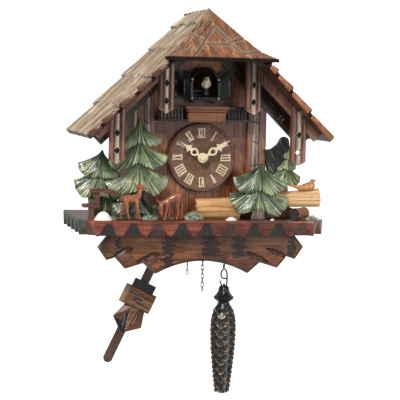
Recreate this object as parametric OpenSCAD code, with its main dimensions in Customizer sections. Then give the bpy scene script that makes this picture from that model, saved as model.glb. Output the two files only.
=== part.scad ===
// Wall-hung chalet cuckoo clock with a quartz movement, a pendulum and a cast cone weight.
// Origin: the hanging hole in the back panel, on the wall plane. Front faces -Y, up is +Z.
// Heights inside the modules are counted from the dial centre; depths are counted from the wall.

/* [House] */
// Height of the hanging hole above the dial centre
hook_rise = 96; // [85:1:105]
// Radius of the hanging hole
hook_r = 4.25; // [3:0.25:6]
// Half width of the house
house_half = 62.5; // [58:0.5:66]
// Thickness of the front and side boards
wall_t = 6; // [4:0.5:8]
// Thickness of the back panel
back_t = 4; // [3:0.5:5]
// Depth of the house's front face in front of the wall
front_d = 84; // [80:1:90]

/* [Roof] */
// Height of the ridge above the dial centre
ridge_z = 139; // [134:1:145]
// Half width of the roof at the eaves
eave_half = 116.6; // [110:0.2:122]
// Roof depth at the eaves
eave_d = 131.8; // [125:0.2:138]
// Depth of the ridge, where the hip begins
ridge_d = 106; // [100:1:112]
// Half width of the hip at its foot
hip_half = 49.6; // [44:0.2:54]
// Thickness of the roof boards
roof_t = 6.6; // [5:0.2:9]
// Number of carved shingle courses on a slope
courses = 5; // [3:1:7]
// Number of strips that each slope is grooved into
strips = 9; // [6:1:12]

/* [Shelf] */
// Half width of the shelf
shelf_half = 117; // [110:0.5:122]
// Depth of the shelf
shelf_d = 118; // [112:1:124]
// Height of the shelf's top, from the dial centre
shelf_z = -57; // [-62:0.5:-54]
// Thickness of the shelf
shelf_t = 14.3; // [10:0.1:18]
// Front face of the skirt board
skirt_d = 102; // [98:1:106]
// Thickness of the skirt board
skirt_t = 8; // [6:0.5:10]

/* [Dial] */
// Radius of the dial
dial_r = 32.5; // [30:0.5:36]
// Length of the minute hand
minute_len = 30.5; // [26:0.5:31.5]
// Length of the hour hand
hour_len = 26; // [18:0.5:27]
// Angle of the minute hand, clockwise from 12
minute_deg = 57; // [0:1:359]
// Angle of the hour hand, clockwise from 12
hour_deg = 304.75; // [0:0.25:359]

/* [Cuckoo] */
// Half width of the doorway
door_half = 10.6; // [9:0.1:12]
// Height of the doorway's sill
door_sill = 56.8; // [55:0.1:60]
// Angle that the doors stand open
door_open = 145; // [90:1:160]

/* [Pendulum] */
// Distance of the pendulum's plane from the wall
swing_d = 50; // [44:0.5:52]
// Height of the pendulum's pivot
swing_z = -28.4; // [-32:0.1:-26]
// Length of the pendulum from its pivot
swing_len = 189; // [170:1:200]
// Angle of the pendulum to the left of vertical
swing_deg = 25.3; // [0:0.1:25.5]

/* [Weight] */
// Distance of the cone weight's axis from the wall
cone_d = 74; // [72:0.5:76]
// Sideways place of the cone weight
cone_x = 28.5; // [26:0.5:32]
// Largest radius of the cone
cone_r = 12.8; // [10:0.2:14]

/* [Hidden] */
$fn = 48;

root2 = sqrt(2);
under = ridge_z - roof_t * root2;      // |x| + z on the underside of the roof
core = under + 3.6 * root2;            // the same sum where the carved strips begin
eave_run = 2 * eave_half - ridge_z;    // |x| - z at the ends of the eaves
course_drop = 3.2;                     // how far each course dips behind the one above
hip_d = ridge_d + hip_half;            // depth of the foot of the hip
shelf_low = shelf_z - shelf_t;
post_d = 120.5;                        // front face of the hanging posts
brace_d = front_d + 6;
arch_z = 70.5;                         // centre of the doorway's arch
frame_d = 97;
hinge_x = 12.6;
hinge_d = 98.4;
pin_r = 0.45;                          // door pins
hour_tube_r = 2.5;
arbor_r = 1.2;
fit = 0.05;                            // radial clearance of the running shafts
gear_gap = 15;                         // between the motion work's two axes
case_front = front_d - wall_t;
case_back = 60;
cover_back = 40;
case_low = -22;
case_high = 40;
case_half = 46;
cell_r = 7.1;
cell_z = [15.5, 30.5];
green = "darkolivegreen";
walnut = "saddlebrown";
dark = "#3a2418";

// ---- placing ----------------------------------------------------------------

module house() {
    translate([0, 0, -hook_rise]) children();
}

// Extrudes an (x, z) outline from one depth to a greater one.
module board(from, to) {
    translate([0, -from, 0]) rotate([90, 0, 0]) linear_extrude(to - from) children();
}

// Extrudes an (x, -depth) outline between two heights.
module plate(low, high) {
    translate([0, 0, low]) linear_extrude(high - low) children();
}

// A cylinder along Y between two depths.
module rod_y(from, to, r) {
    translate([0, -from, 0]) rotate([90, 0, 0]) cylinder(h = to - from, r = r);
}

module both_sides() {
    children();
    mirror([1, 0, 0]) children();
}

// A point of the right-hand slope from its sum x + z and its run x - z.
function on_slope(sum, run) = [(sum + run) / 2, (sum - run) / 2];

function bend(a, c, b, n = 7) =
    [for (i = [0:n - 1]) let (t = i / n) (1 - t) * (1 - t) * a + 2 * t * (1 - t) * c + t * t * b];

// ---- house ------------------------------------------------------------------

module gable() {
    polygon([
        [-house_half, shelf_z], [house_half, shelf_z], [house_half, under - house_half],
        [0, under], [-house_half, under - house_half]
    ]);
}

module doorway(half, low, high) {
    translate([0, high - half]) circle(r = half);
    translate([-half, low]) square([2 * half, high - half - low]);
}

module back_panel() {
    color(walnut) house() difference() {
        board(0, back_t) gable();
        translate([0, 1, hook_rise]) rod_y(0, back_t + 2, hook_r);
        translate([-40, -back_t - 1, -16]) cube([80, back_t + 2, 52]);
        for (a = [0:60:300])
            translate([-34 + 8 * cos(a), 1, -38 + 8 * sin(a)]) rod_y(0, back_t + 2, 1.5);
    }
}

module side_walls() {
    color(walnut) house() both_sides() board(back_t, case_front) polygon([
        [house_half - wall_t, shelf_z], [house_half, shelf_z],
        [house_half, under - house_half], [house_half - wall_t, under - house_half + wall_t]
    ]);
}

module front_wall() {
    color(walnut) house() difference() {
        board(case_front, front_d) gable();
        translate([0, 1, 0]) rod_y(case_front, front_d + 2, 4.4);
        board(case_front - 1, front_d + 1) doorway(door_half + 0.6, door_sill - 0.6, 81.6);
    }
}

module shelf() {
    cut = 14;
    color(walnut) house() difference() {
        plate(shelf_low, shelf_z) polygon([
            [-shelf_half, 0], [-shelf_half, 18 - shelf_d], [cut - shelf_half, -shelf_d],
            [shelf_half - cut, -shelf_d], [shelf_half, 18 - shelf_d], [shelf_half, 0]
        ]);
        plate(shelf_low - 1, shelf_z + 1) translate([-27, -swing_d - 5]) square([54, 10]);
        for (x = [cone_x, 7, -8])
            translate([x, -cone_d, shelf_low - 1]) cylinder(h = shelf_t + 2, r = 3);
    }
}

// The skirt's carved edge: three stepped points on each side of a shallow arch.
function skirt_side() = [
    [89, shelf_low], [98.5, -83.2], [90.5, -95], [82.5, -92.5],
    [73, -103.2], [56, -98], [44.5, -108]
];

module skirt_board() {
    side = concat(skirt_side(), bend([43, -107.6], [22, -96.4], [0, -96.2], 8));
    count = len(side);
    other = [for (i = [count - 1:-1:0]) [-side[i][0], side[i][1]]];
    color(walnut) house() board(skirt_d - skirt_t, skirt_d) polygon(concat(side, other));
}

// ---- roof -------------------------------------------------------------------

module roof_plan() {
    polygon([
        [0, 0], [0, -ridge_d], [hip_half, -hip_d], [eave_half, -eave_d], [eave_half, 0]
    ]);
}

// The (x, z) section of a slope: a plain core with the courses stepped down it.
module slope_section() {
    step = (eave_run + ridge_z) / courses;
    tips = [for (k = [1:courses]) each [
        on_slope(ridge_z, k * step - ridge_z),
        on_slope(ridge_z - course_drop, k * step - ridge_z)
    ]];
    polygon(concat([[0, under], [0, ridge_z - 0.5]], tips, [on_slope(under, eave_run)]));
}

module roof_slope() {
    pitch = eave_d / strips;
    difference() {
        intersection() {
            board(0, hip_d) slope_section();
            plate(0, ridge_z + 1) roof_plan();
        }
        for (i = [1:strips - 1])
            board(i * pitch - 0.5, i * pitch + 0.5) polygon([
                on_slope(core, -core), on_slope(ridge_z + 4, -core),
                on_slope(ridge_z + 4, eave_run + 1), on_slope(core, eave_run + 1)
            ]);
    }
}

module roof_right() {
    color("burlywood") house() roof_slope();
}

module roof_left() {
    color("burlywood") house() mirror([1, 0, 0]) roof_slope();
}

// A board sloping forward at the same pitch, mitred to both slopes.
module hip_board() {
    sum = ridge_z + ridge_d;
    low = sum - roof_t * root2;
    color("peru") house() intersection() {
        plate(0, ridge_z + 1) polygon([
            [0, -ridge_d], [hip_half, -hip_d], [-hip_half, -hip_d]
        ]);
        rotate([90, 0, 90]) translate([0, 0, -hip_half]) linear_extrude(2 * hip_half) polygon([
            [-ridge_d + 10, sum - ridge_d + 10], [-hip_d, sum - hip_d],
            [-hip_d, low - hip_d], [-ridge_d + 10, low - ridge_d + 10]
        ]);
    }
}

module gable_braces() {
    lower = 106.5;
    run = 84.5;
    color(dark) house() both_sides() board(front_d, brace_d) polygon([
        [0, lower], [0, under], on_slope(under, run), on_slope(lower, run)
    ]);
}

// The bar under a slope that the hanging posts are let into.
module rafter_bar(from, to, top) {
    lower = 119;
    board(from, to) polygon([
        on_slope(lower, -48), on_slope(top, -48), on_slope(top, 84), on_slope(lower, 84)
    ]);
}

module rafters() {
    color(dark) house() both_sides() rafter_bar(112, 118, under);
}

// A hanging post: moulded front, pointed foot, two pierced diamonds and a notch for its rafter.
module hanging_post(x, tip, diamonds) {
    half = 6.7;
    top = under - x - half;
    difference() {
        translate([x, 0, 0]) board(post_d - 8, post_d) polygon([
            [-half, top + 2 * half], [-half, tip + 3.6], [0, tip], [half, tip + 3.6], [half, top]
        ]);
        for (z = diamonds)
            translate([x, 0, z]) board(post_d - 9, post_d + 1) circle(r = 3.1, $fn = 4);
        translate([x - 2.4, -post_d - 1, tip + 6]) cube([4.8, 2, top - tip - 4]);
        rafter_bar(111.9, 118.1, under + 1);
    }
}

module outer_posts() {
    color(walnut) house() both_sides() hanging_post(85.8, -5.1, [7.2, 23.3]);
}

module inner_posts() {
    color(walnut) house() both_sides() hanging_post(41.1, 41.5, [53, 69.2]);
}

// Each corner of the house has a split log between two plain strips.
module corner_posts() {
    top = 106.5;
    color(walnut) house() both_sides() {
        board(front_d, brace_d - 2) polygon([
            [44.5, shelf_z], [49.3, shelf_z], [49.3, top - 49.3], [44.5, top - 44.5]
        ]);
        board(front_d, brace_d) polygon([
            [49.4, shelf_z], [55.4, shelf_z], [55.4, top - 55.4], [49.4, top - 49.4]
        ]);
        board(front_d, brace_d - 1) polygon([
            [55.5, shelf_z], [house_half, shelf_z],
            [house_half, top - house_half], [55.5, top - 55.5]
        ]);
    }
}

// ---- dial and hands ---------------------------------------------------------

module dial() {
    color(dark) house() difference() {
        translate([0, -front_d, 0]) rotate([90, 0, 0]) rotate_extrude($fn = 96) polygon([
            [0, 0], [dial_r, 0], [dial_r, 4], [dial_r - 1.2, 6], [dial_r - 2.4, 5.4],
            [dial_r - 3.2, 4.6], [0, 4.6]
        ]);
        translate([0, 1, 0]) rod_y(front_d, front_d + 8, 4.2);
    }
}

module stroke(x0, x1, w) {
    high = 4.2;
    polygon([[x0 - w, -high], [x0 + w, -high], [x1 + w, high], [x1 - w, high]]);
}

// One figure, made of I, V and X strokes with flat serifs.
module figure(letters) {
    count = len(letters);
    pitch = count > 2 ? 2.5 : 3;
    for (i = [0:count - 1]) {
        x = (i - (count - 1) / 2) * pitch;
        translate([x, 0]) {
            if (letters[i] == "I") stroke(0, 0, 0.5);
            if (letters[i] == "V") {
                stroke(0.1, -1.2, 0.6);
                stroke(-0.1, 1.2, 0.35);
            }
            if (letters[i] == "X") {
                stroke(1.2, -1.2, 0.6);
                stroke(-1.2, 1.2, 0.35);
            }
        }
    }
    wide = (count - 1) * pitch / 2 + 1.1;
    translate([-wide, 3.9]) square([2 * wide, 0.7]);
    translate([0.5 - wide, -4.6]) square([2 * wide - 1, 0.7]);
}

module numerals() {
    hours = ["XII", "I", "II", "III", "IIII", "V", "VI", "VII", "VIII", "IX", "X", "XI"];
    color("ivory") house() board(front_d + 4.6, front_d + 5.6)
        for (h = [0:11])
            rotate(-30 * h) translate([0, 23]) figure(hours[h]);
}

// The hexagonal nut that holds the movement to the dial.
module dial_nut() {
    color("gold") house() difference() {
        translate([0, -front_d - 4.6, 0]) rotate([90, 0, 0]) cylinder(h = 2, r = 5.6, $fn = 6);
        translate([0, 1, 0]) rod_y(front_d + 4, front_d + 8, 3.95);
    }
}

// A carved hand along +Y: ring, open heart, leaf and point, as an outline.
module hand_outline(length, hub_r) {
    heart = length * 0.42;
    leaf = length * 0.62;
    difference() {
        union() {
            circle(r = hub_r);
            translate([-1.1, 0]) square([2.2, leaf]);
            translate([0, heart]) circle(r = length * 0.115);
            polygon([[-2.9, hub_r - 1.6], [2.9, hub_r - 1.6], [3.4, heart], [-3.4, heart]]);
            polygon([[-3.3, leaf - 1], [0, leaf - 3], [3.3, leaf - 1], [1.3, leaf + 3], [-1.3, leaf + 3]]);
            polygon([[-1.3, leaf + 2], [1.3, leaf + 2], [0.35, length], [-0.35, length]]);
        }
        translate([0, heart - 0.6]) circle(r = length * 0.07);
    }
}

module hand(length, hub_r, bore_r, angle, from, to) {
    difference() {
        board(from, to) rotate(-angle) hand_outline(length, hub_r);
        translate([0, 1, 0]) rod_y(from - 1, to + 3, bore_r);
    }
}

module hour_hand() {
    color("ivory") house() hand(hour_len, 4.6, hour_tube_r, hour_deg, 92.4, 93.6);
}

module minute_hand() {
    color("ivory") house() hand(minute_len, 4.6, arbor_r, minute_deg, 95, 96.2);
}

module hand_nut() {
    color("gold") house() difference() {
        union() {
            rod_y(96.2, 98, 2.6);
            rod_y(98, 98.8, 1.9);
        }
        rod_y(95, 98.5, arbor_r);
    }
}

// ---- cuckoo -----------------------------------------------------------------

// An arched tunnel with a scalloped sill, and two pins on each side for a door.
module door_frame() {
    half = door_half + 3.6;
    color("#181818") house() {
        difference() {
            union() {
                board(front_d, frame_d) doorway(half, door_sill - 1.2, 84.8);
                board(frame_d - 4, frame_d) polygon([
                    [-14.2, 57], [-12.6, 54.5], [-10.7, 51], [-5, 53.4], [0, 54],
                    [5, 53.4], [10.7, 51], [12.6, 54.5], [14.2, 57]
                ]);
            }
            board(front_d - 1, frame_d + 1) doorway(door_half, door_sill, 81);
        }
        both_sides() for (low = [door_sill - 1.8, door_sill + 15.4]) {
            translate([hinge_x - 1, -hinge_d - 1, low]) cube([2, hinge_d + 1.2 - frame_d, 1.4]);
            translate([hinge_x, -hinge_d, low - 0.8]) cylinder(h = 3, r = pin_r, $fn = 16);
        }
    }
}

// A quarter-arched leaf, hinged on the Z axis at the origin and reaching along +X.
module door_leaf() {
    reach = hinge_x - 0.4;
    difference() {
        union() {
            intersection() {
                board(-0.6, 0.6) polygon([
                    [0.7, door_sill], [reach, door_sill], [reach, 83], [2.2, 83], [2.2, 71.8], [0.7, 71.8]
                ]);
                board(-1, 1) translate([hinge_x, arch_z - 0.6]) {
                    circle(r = 12);
                    translate([-12, -20]) square([24, 20]);
                }
            }
            translate([0, 0, door_sill]) cylinder(h = 15, r = 1);
        }
        translate([0, 0, door_sill - 1]) cylinder(h = 17, r = pin_r + fit);
    }
}

module door_left() {
    color("#181818") house() translate([-hinge_x, -hinge_d, 0]) rotate([0, 0, -door_open]) door_leaf();
}

module door_right() {
    color("#181818") house() mirror([1, 0, 0]) translate([-hinge_x, -hinge_d, 0])
        rotate([0, 0, -door_open]) door_leaf();
}

module cuckoo() {
    color("linen") house() translate([0, -102, 0]) {
        hull() {
            translate([0, 1, 67.6]) sphere(r = 3.1, $fn = 20);
            translate([0, -1.2, 70]) sphere(r = 2.9, $fn = 20);
        }
        translate([0, -2.6, 73]) sphere(r = 2.6, $fn = 20);
        translate([0, -4.6, 73]) rotate([90, 0, 0]) cylinder(h = 3.2, r1 = 1, r2 = 0.3, $fn = 16);
        hull() {
            translate([0, 3, 67.6]) sphere(r = 1.7, $fn = 16);
            translate([0, 8, 66.4]) sphere(r = 1, $fn = 16);
        }
        both_sides() translate([3.1, 0.6, 69]) sphere(r = 1.5, $fn = 16);
    }
}

module cuckoo_carriage() {
    color("#303030") house() {
        translate([-1, -103, 61.2]) cube([2, 2, 3.2]);
        translate([-2, -103, 59.2]) cube([4, 45, 2]);
        translate([-5, -64, 57.2]) cube([10, 6, 6]);
    }
}

// The tray that the carriage slides in, carried by the front wall.
module cuckoo_rail() {
    color("#303030") house() difference() {
        translate([-8, -case_front, 52.5]) cube([16, 50, 8]);
        translate([-5.3, -case_front - 1, 56.9]) cube([10.6, 52, 8]);
    }
}

// ---- balcony ----------------------------------------------------------------

module sill_box() {
    color("peru") house() {
        translate([-18, -108, 34]) cube([36, 108 - front_d, 9]);
        translate([-19.2, -109.2, 43]) cube([38.4, 109.2 - front_d, 2.4]);
        translate([-20.4, -110.4, 45.4]) cube([40.8, 110.4 - front_d, 3.2]);
    }
}

module railings() {
    color("#1c1714") house() both_sides() {
        translate([18, -104, 34]) cube([26, 104 - front_d, 2.4]);
        translate([20.4, -104, 45]) cube([23.6, 3, 3]);
        translate([20.4, -99, 36.4]) cube([23.6, 1.6, 10]);
        translate([41, -101.2, 36.4]) cube([3, 2.4, 11.6]);
        for (i = [0:3])
            translate([23 + i * 4.8, -102.5, 36.4]) cylinder(h = 8.6, r = 0.9, $fn = 16);
    }
}

// ---- scenery ----------------------------------------------------------------

// One drooping tier of a spruce: top, tips, feet and the notch between the feet.
module tier(top, tip_r, foot_r, mid, foot_l, tip_l) {
    polygon(concat(
        bend(top, [top[0] + 3, tip_r[1] + 4], tip_r),
        bend(tip_r, [tip_r[0] - 1, foot_r[1] + 1], foot_r, 4),
        bend(foot_r, [(foot_r[0] + mid[0]) / 2, mid[1] - 1], mid, 4),
        bend(mid, [(foot_l[0] + mid[0]) / 2, mid[1] - 1], foot_l, 4),
        bend(foot_l, [tip_l[0] + 1, foot_l[1] + 1], tip_l, 4),
        bend(tip_l, [top[0] - 3, tip_l[1] + 4], top)
    ));
}

// One side of a spruce, downwards: each tier is its tip, its foot and the neck below it.
function spruce_side(top, tiers) = [for (k = [0:len(tiers) - 1])
    let (from = k == 0 ? top : tiers[k - 1][2], tip = tiers[k][0], foot = tiers[k][1])
    each concat(
        bend(from, [(2 * from[0] + tip[0]) / 3, tip[1] + 3], tip),
        bend(tip, [tip[0], (tip[1] + foot[1]) / 2], foot, 4), [foot, tiers[k][2]]
    )];

module tree_left_front() {
    right = spruce_side([-62.5, 38.5], [
        [[-40.8, 18.6], [-49, 11], [-57, 13.4]],
        [[-34, 3.5], [-48.5, -10], [-55, -8]],
        [[-33.5, -17], [-46, -35], [-46.5, -34]]
    ]);
    left = spruce_side([-62.5, 38.5], [
        [[-84, 15], [-76, 8], [-69, 12]],
        [[-92, 0], [-83, -11.5], [-73, -9]],
        [[-96, -22], [-78, -33], [-81, -32]]
    ]);
    count = len(left);
    color(green) house() board(100, 106) polygon(concat(
        right, [[-42, shelf_z], [-87, shelf_z], [-86, -46]], [for (i = [count - 1:-1:1]) left[i]]
    ));
}

module tree_left_rear() {
    color(green) house() board(92, 98) {
        tier([-95, 6.5], [-78, -8], [-80, -20], [-95, -19], [-111, -18.5], [-118, -5]);
        tier([-95, -6], [-74, -24], [-80, -39], [-97, -36], [-113, -38], [-121, -20.5]);
        polygon([[-92, -30], [-80, -37], [-79, shelf_z], [-102, shelf_z], [-103, -46], [-108, -34]]);
    }
}

module tree_right_front() {
    color(green) house() board(102, 108) {
        tier([54.5, -4], [82, -20], [65, -34.5], [54, -29.7], [35, -31.7], [27, -16.3]);
        tier([53, -20], [82, -36.5], [71.5, -54], [52, -47.6], [34.7, -51.3], [23.6, -31.7]);
        polygon([[47, -45], [57, -45], [58, shelf_z], [46, shelf_z]]);
    }
}

module tree_right_rear() {
    color(green) house() board(89.1, 94.8) {
        polygon(concat(
            bend([81, 20], [87, 12], [86, 4], 4), bend([86, 4], [91, 0], [92, -7], 4),
            bend([92, -7], [88, -12], [85, -11], 3), bend([85, -11], [98, -12], [97, -17], 4),
            bend([97, -17], [98, -24], [92, -26], 4),
            [[84, -32], [84, shelf_z], [72, shelf_z], [72, -30], [64, -11], [59, 8]],
            bend([68, 9], [73, 14], [76, 20], 4)
        ));
    }
}

module leg(from, to, r) {
    hull() {
        translate(from) sphere(r = r, $fn = 14);
        translate(to) sphere(r = r * 0.62, $fn = 14);
    }
}

module deer_standing() {
    y = -113;
    color("chocolate") house() {
        leg([-66, y, -37], [-75, y, -38.6], 4.4);
        leg([-65, y, -35], [-63.5, y, -26], 3.4);
        leg([-64.5, y, -25.5], [-59, y, -26.5], 3);
        leg([-75.6, y, -39], [-79, y - 1, shelf_z + 1.4], 2.2);
        leg([-64.4, y, -39], [-62.4, y - 1, shelf_z + 1.4], 2.2);
        translate([-66, y, -24]) rotate([0, -20, 0]) cylinder(h = 4.6, r1 = 1.3, r2 = 0.5, $fn = 16);
    }
}

module deer_grazing() {
    y = -112;
    color("chocolate") house() {
        leg([-28.5, y, -35], [-37, y, -37.5], 5.4);
        leg([-37, y, -38.5], [-41, y, -44], 3.6);
        leg([-41, y, -44], [-43, y, -51.5], 3);
        leg([-35, y - 1, -41], [-37, y - 2, shelf_z + 1.5], 2.4);
        leg([-26, y - 1, -39], [-23.5, y - 2, shelf_z + 1.65], 2.6);
    }
}

module bench() {
    color(walnut) house() {
        translate([-115, -112, -45.5]) cube([16, 10, 3.6]);
        translate([-109.5, -110, shelf_z]) cube([5.4, 6, -45.5 - shelf_z]);
        translate([-103.4, -106, -42]) cube([5, 4, 14]);
        board(106, 109) polygon([
            [-108, -28], [-98, -27.8], [-88, -29], [-78, -34], [-86, -34.6], [-97, -31.6], [-108, -32.6]
        ]);
    }
}

module split_log_left() {
    color("burlywood") house() translate([-6, -96, shelf_z]) rotate([90, 0, 90]) linear_extrude(42)
        polygon([[-4, 0], [4, 0], [5, 12], [4, 19.6], [-5, 18.6]]);
}

module split_log_right() {
    color("burlywood") house() board(94.8, 101.8)
        polygon([[69, -45.4], [69, -32.1], [114, -27.6], [114, -45.4]]);
}

// A short log lying end-on behind the moss.
module round_log() {
    color(dark) house() translate([85, -113, shelf_z + 5.8]) rotate([90, 0, 135])
        cylinder(h = 20, r = 5.8, $fn = 32);
}

module songbird() {
    color("burlywood") house() translate([0, -98.4, 0]) {
        leg([101.5, 0, -25.8], [106.5, 0, -20.6], 3);
        leg([100, 0, -25.6], [83.5, 0, -24.8], 2.6);
        translate([108, 0, -19.8]) rotate([0, 80, 0]) cylinder(h = 3.6, r1 = 1, r2 = 0.3, $fn = 16);
    }
}

module moss_tufts() {
    color("darkseagreen") house() for (tuft = [[-14, 6.6], [-53, 4.6], [103, 3.6]])
        translate([tuft[0], -111, shelf_z]) intersection() {
            sphere(r = tuft[1], $fn = 20);
            translate([-9, -9, 0]) cube([18, 18, 12]);
        }
}

module pebbles() {
    // Place along the shelf, height and radius of each stone
    color("gainsboro") house() for (pebble = [[-96, 7, 6], [24.6, 3.2, 4.5], [64.3, 2, 2.8]])
        translate([pebble[0], -111, shelf_z]) cylinder(h = pebble[1], r = pebble[2], $fn = 24);
}

// ---- pendulum ---------------------------------------------------------------

// Stands the children up along the tilted pendulum, with the pivot at their origin.
module on_pendulum() {
    translate([0, 0, swing_z]) rotate([0, swing_deg, 0]) children();
}

module pendulum_rod() {
    eye = 4;
    color(walnut) house() on_pendulum() difference() {
        union() {
            board(swing_d - 1.2, swing_d + 1.2) polygon([
                [-2.6, 0], [-2.6, -70], [-4.3, -78], [-4.3, 3 - swing_len], [-2, -swing_len],
                [2, -swing_len], [4.3, 3 - swing_len], [4.3, -78], [2.6, -70], [2.6, 0]
            ]);
            rod_y(swing_d - 1.2, swing_d + 1.2, eye);
        }
        translate([0, 2, 0]) rod_y(swing_d, swing_d + 4, 1 + fit);
    }
}

module pendulum_ornament() {
    color("peru") house() on_pendulum() {
        board(swing_d + 1.2, swing_d + 6.2) translate([-10.5, -112.5]) square([22, 9]);
        board(swing_d + 1.2, swing_d + 8.4) polygon([
            [-15.6, -111.6], [15.6, -111.6], [15.6, -130.4], [-15.6, -130.4]
        ]);
        board(swing_d + 1.2, swing_d + 6.4) polygon([
            [-9, -130.5], [11, -130.5], [15, -145], [3.4, -155], [-3.4, -155], [-14, -145]
        ]);
    }
}

module pendulum_hanger() {
    color("silver") house() {
        translate([-4, -swing_d - 8, case_low - 2]) cube([8, 12, 2]);
        translate([-3, -swing_d - 8, swing_z - 3]) cube([6, 1.6, case_low - 2 - swing_z + 3]);
        translate([0, 0, swing_z]) rod_y(swing_d - 3, swing_d + 6.4, 1);
    }
}

// ---- weight and chains ------------------------------------------------------

module weight_cone() {
    top = -117.5;
    rows = 19;
    first = -147;
    pitch = 4;
    function radius(z) = cone_r * (1 - 0.36 * pow((first - 8 - z) / 74, 1.6));
    side = [for (i = [0:rows - 1]) let (z = first - i * pitch, r = z > first - 8 ? 12.3 : radius(z))
        each [[r - 1.1, z], [r, z - pitch + 0.3], [r - 0.9, z - pitch]]];
    color("darkslategray") house() translate([cone_x, -cone_d, 0]) {
        rotate_extrude() polygon(concat(
            [[0, -122], [2.4, -122], [3.6, -127], [5.4, -131], [8.7, -134.6], [8.2, -136.6],
             [5.4, -138.6], [5.4, -140.4], [8.4, -143.6]],
            side, [[6.4, -225], [3.4, -227.5], [0, -227.6]]
        ));
        translate([-1.1, -1.1, -122.5]) cube([2.2, 2.2, 1.5]);
        translate([0, 0, -118.6]) rotate([90, 0, 0]) ring(2.9, 0.75, 0);
    }
}

// A wire ring in the XY plane, stretched along X by a straight length.
module ring(r, wire, straight) {
    for (side = [0, 180])
        rotate(side) translate([straight / 2, 0, 0])
            rotate([0, 0, -90]) rotate_extrude(angle = 180, $fn = 24) translate([r, 0]) circle(r = wire, $fn = 16);
    if (straight > 0)
        for (y = [-r, r])
            translate([-straight / 2, y, 0]) rotate([0, 90, 0]) cylinder(h = straight, r = wire, $fn = 16);
}

module weight_hook() {
    color("#202020") house() translate([cone_x, -cone_d, 0]) {
        translate([0, 0, -106.4]) rotate([90, 90, 0]) ring(2, 0.7, 3);
        translate([0, 0, -114.7]) rotate([90, 0, 90]) ring(2.6, 0.75, 0);
        translate([0, 0, -112]) cylinder(h = 2.2, r = 0.75, $fn = 16);
    }
}

module chain(x, top, count) {
    pitch = 4.1;
    for (i = [0:count - 1])
        translate([x, -cone_d, top - i * pitch]) rotate([0, 0, i * 90 + 90]) rotate([0, 90, 0])
            ring(1.25, 0.4, 2.5);
}

module chains() {
    color("dimgray") house() {
        chain(cone_x, -72.9, 8);
        chain(-8, -72.9, 8);
        chain(7, -72.9, 14);
    }
}

// ---- movement ---------------------------------------------------------------

// A spur gear's outline with slim straight-sided teeth.
module gear_outline(teeth, size) {
    root = size * (teeth / 2 - 1.15);
    tip = size * (teeth / 2 + 0.8);
    step = 360 / teeth;
    polygon([for (i = [0:teeth - 1]) each [for (p = [[-0.3, root], [-0.1, tip], [0.1, tip], [0.3, root]])
        p[1] * [cos((i + p[0]) * step), sin((i + p[0]) * step)]]]);
}

module movement_case() {
    color("#202020") house() difference() {
        union() {
            translate([-case_half, -case_front, case_low])
                cube([2 * case_half, case_front - case_back, case_high - case_low]);
            rod_y(case_front, front_d + 6.6, 3.9);
        }
        translate([2 - case_half, 2 - case_front, case_low + 2])
            cube([2 * case_half - 4, case_front - case_back, case_high - case_low - 4]);
        translate([0, 2, 0]) rod_y(case_front - 4, front_d + 9, hour_tube_r + fit);
    }
}

// The rear shell: a battery bay, a boss for the setting shaft, a switch pocket and screw posts.
module movement_cover() {
    wall = 2;
    bay = [53, 15.4, cell_z[1] - cell_z[0] + 15];
    color("#202020") house() difference() {
        union() {
            difference() {
                translate([-case_half, -case_back, case_low])
                    cube([2 * case_half, case_back - cover_back, case_high - case_low]);
                translate([wall - case_half, -case_back - 1, case_low + wall]) cube([
                    2 * (case_half - wall), case_back + 1 - cover_back - wall,
                    case_high - case_low - 2 * wall
                ]);
            }
            translate([-bay[0] / 2 - wall, -cover_back - bay[1] - wall, cell_z[0] - 7.5 - wall])
                cube([bay[0] + 2 * wall, bay[1] + wall, bay[2] + 2 * wall]);
            translate([gear_gap, 0, 0]) rod_y(cover_back, cover_back + 10, 3.5);
            translate([-24, -cover_back - 8, -6]) cube([20, 8, 11]);
            for (x = [-41, 41], z = [-17, 35])
                translate([x, 0, z]) rod_y(cover_back, case_back, 3.2);
        }
        translate([-bay[0] / 2, -cover_back - bay[1], cell_z[0] - 7.5]) cube([bay[0], bay[1] + 1, bay[2]]);
        translate([gear_gap, 1, 0]) rod_y(cover_back, cover_back + 12, 1.5 + fit);
        translate([-22, -cover_back - 6, -4]) cube([16, 8, 8]);
        for (x = [-41, 41], z = [-17, 35])
            translate([x, 1, z]) rod_y(cover_back, cover_back + 8, 1.4);
    }
}

module minute_arbor() {
    color("silver") house() {
        rod_y(64, 98.4, arbor_r);
        board(65, 68) gear_outline(12, gear_gap / 24);
    }
}

module hour_wheel() {
    color("white") house() difference() {
        union() {
            rod_y(70, 94.4, hour_tube_r);
            board(70, 72.4) rotate(4.5) gear_outline(40, gear_gap / 25);
        }
        translate([0, 1, 0]) rod_y(68, 97, arbor_r + fit);
    }
}

module setting_wheel() {
    color("white") house() translate([gear_gap, 0, 0]) {
        rod_y(34, 74, 1.5);
        board(65, 68) rotate(5) gear_outline(36, gear_gap / 24);
        board(68, 73) gear_outline(10, gear_gap / 25);
        rod_y(34, 39, 6);
    }
}

module batteries() {
    color("goldenrod") house() for (z = cell_z)
        translate([0, -cover_back - 8, z]) rotate([0, z == cell_z[0] ? 90 : -90, 0]) {
            translate([0, 0, -24.6]) cylinder(h = 49.2, r = cell_r);
            translate([0, 0, 24.6]) cylinder(h = 1.2, r = 2.7);
        }
}

module battery_contacts() {
    color("silver") house() for (x = [-26.4, 25.9], z = cell_z)
        translate([x, -cover_back - 12, z - 5]) cube([0.5, 9, 10]);
}

module circuit_board() {
    color("darkgreen") house() translate([-43, -65, -18]) cube([26, 1.6, 54]);
}

module motor_coil() {
    color("orangered") house() translate([36, -69, -14]) {
        cylinder(h = 20, r = 4);
        translate([-5, -5, -2]) cube([10, 10, 2]);
        translate([-5, -5, 20]) cube([10, 10, 2]);
    }
}

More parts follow.
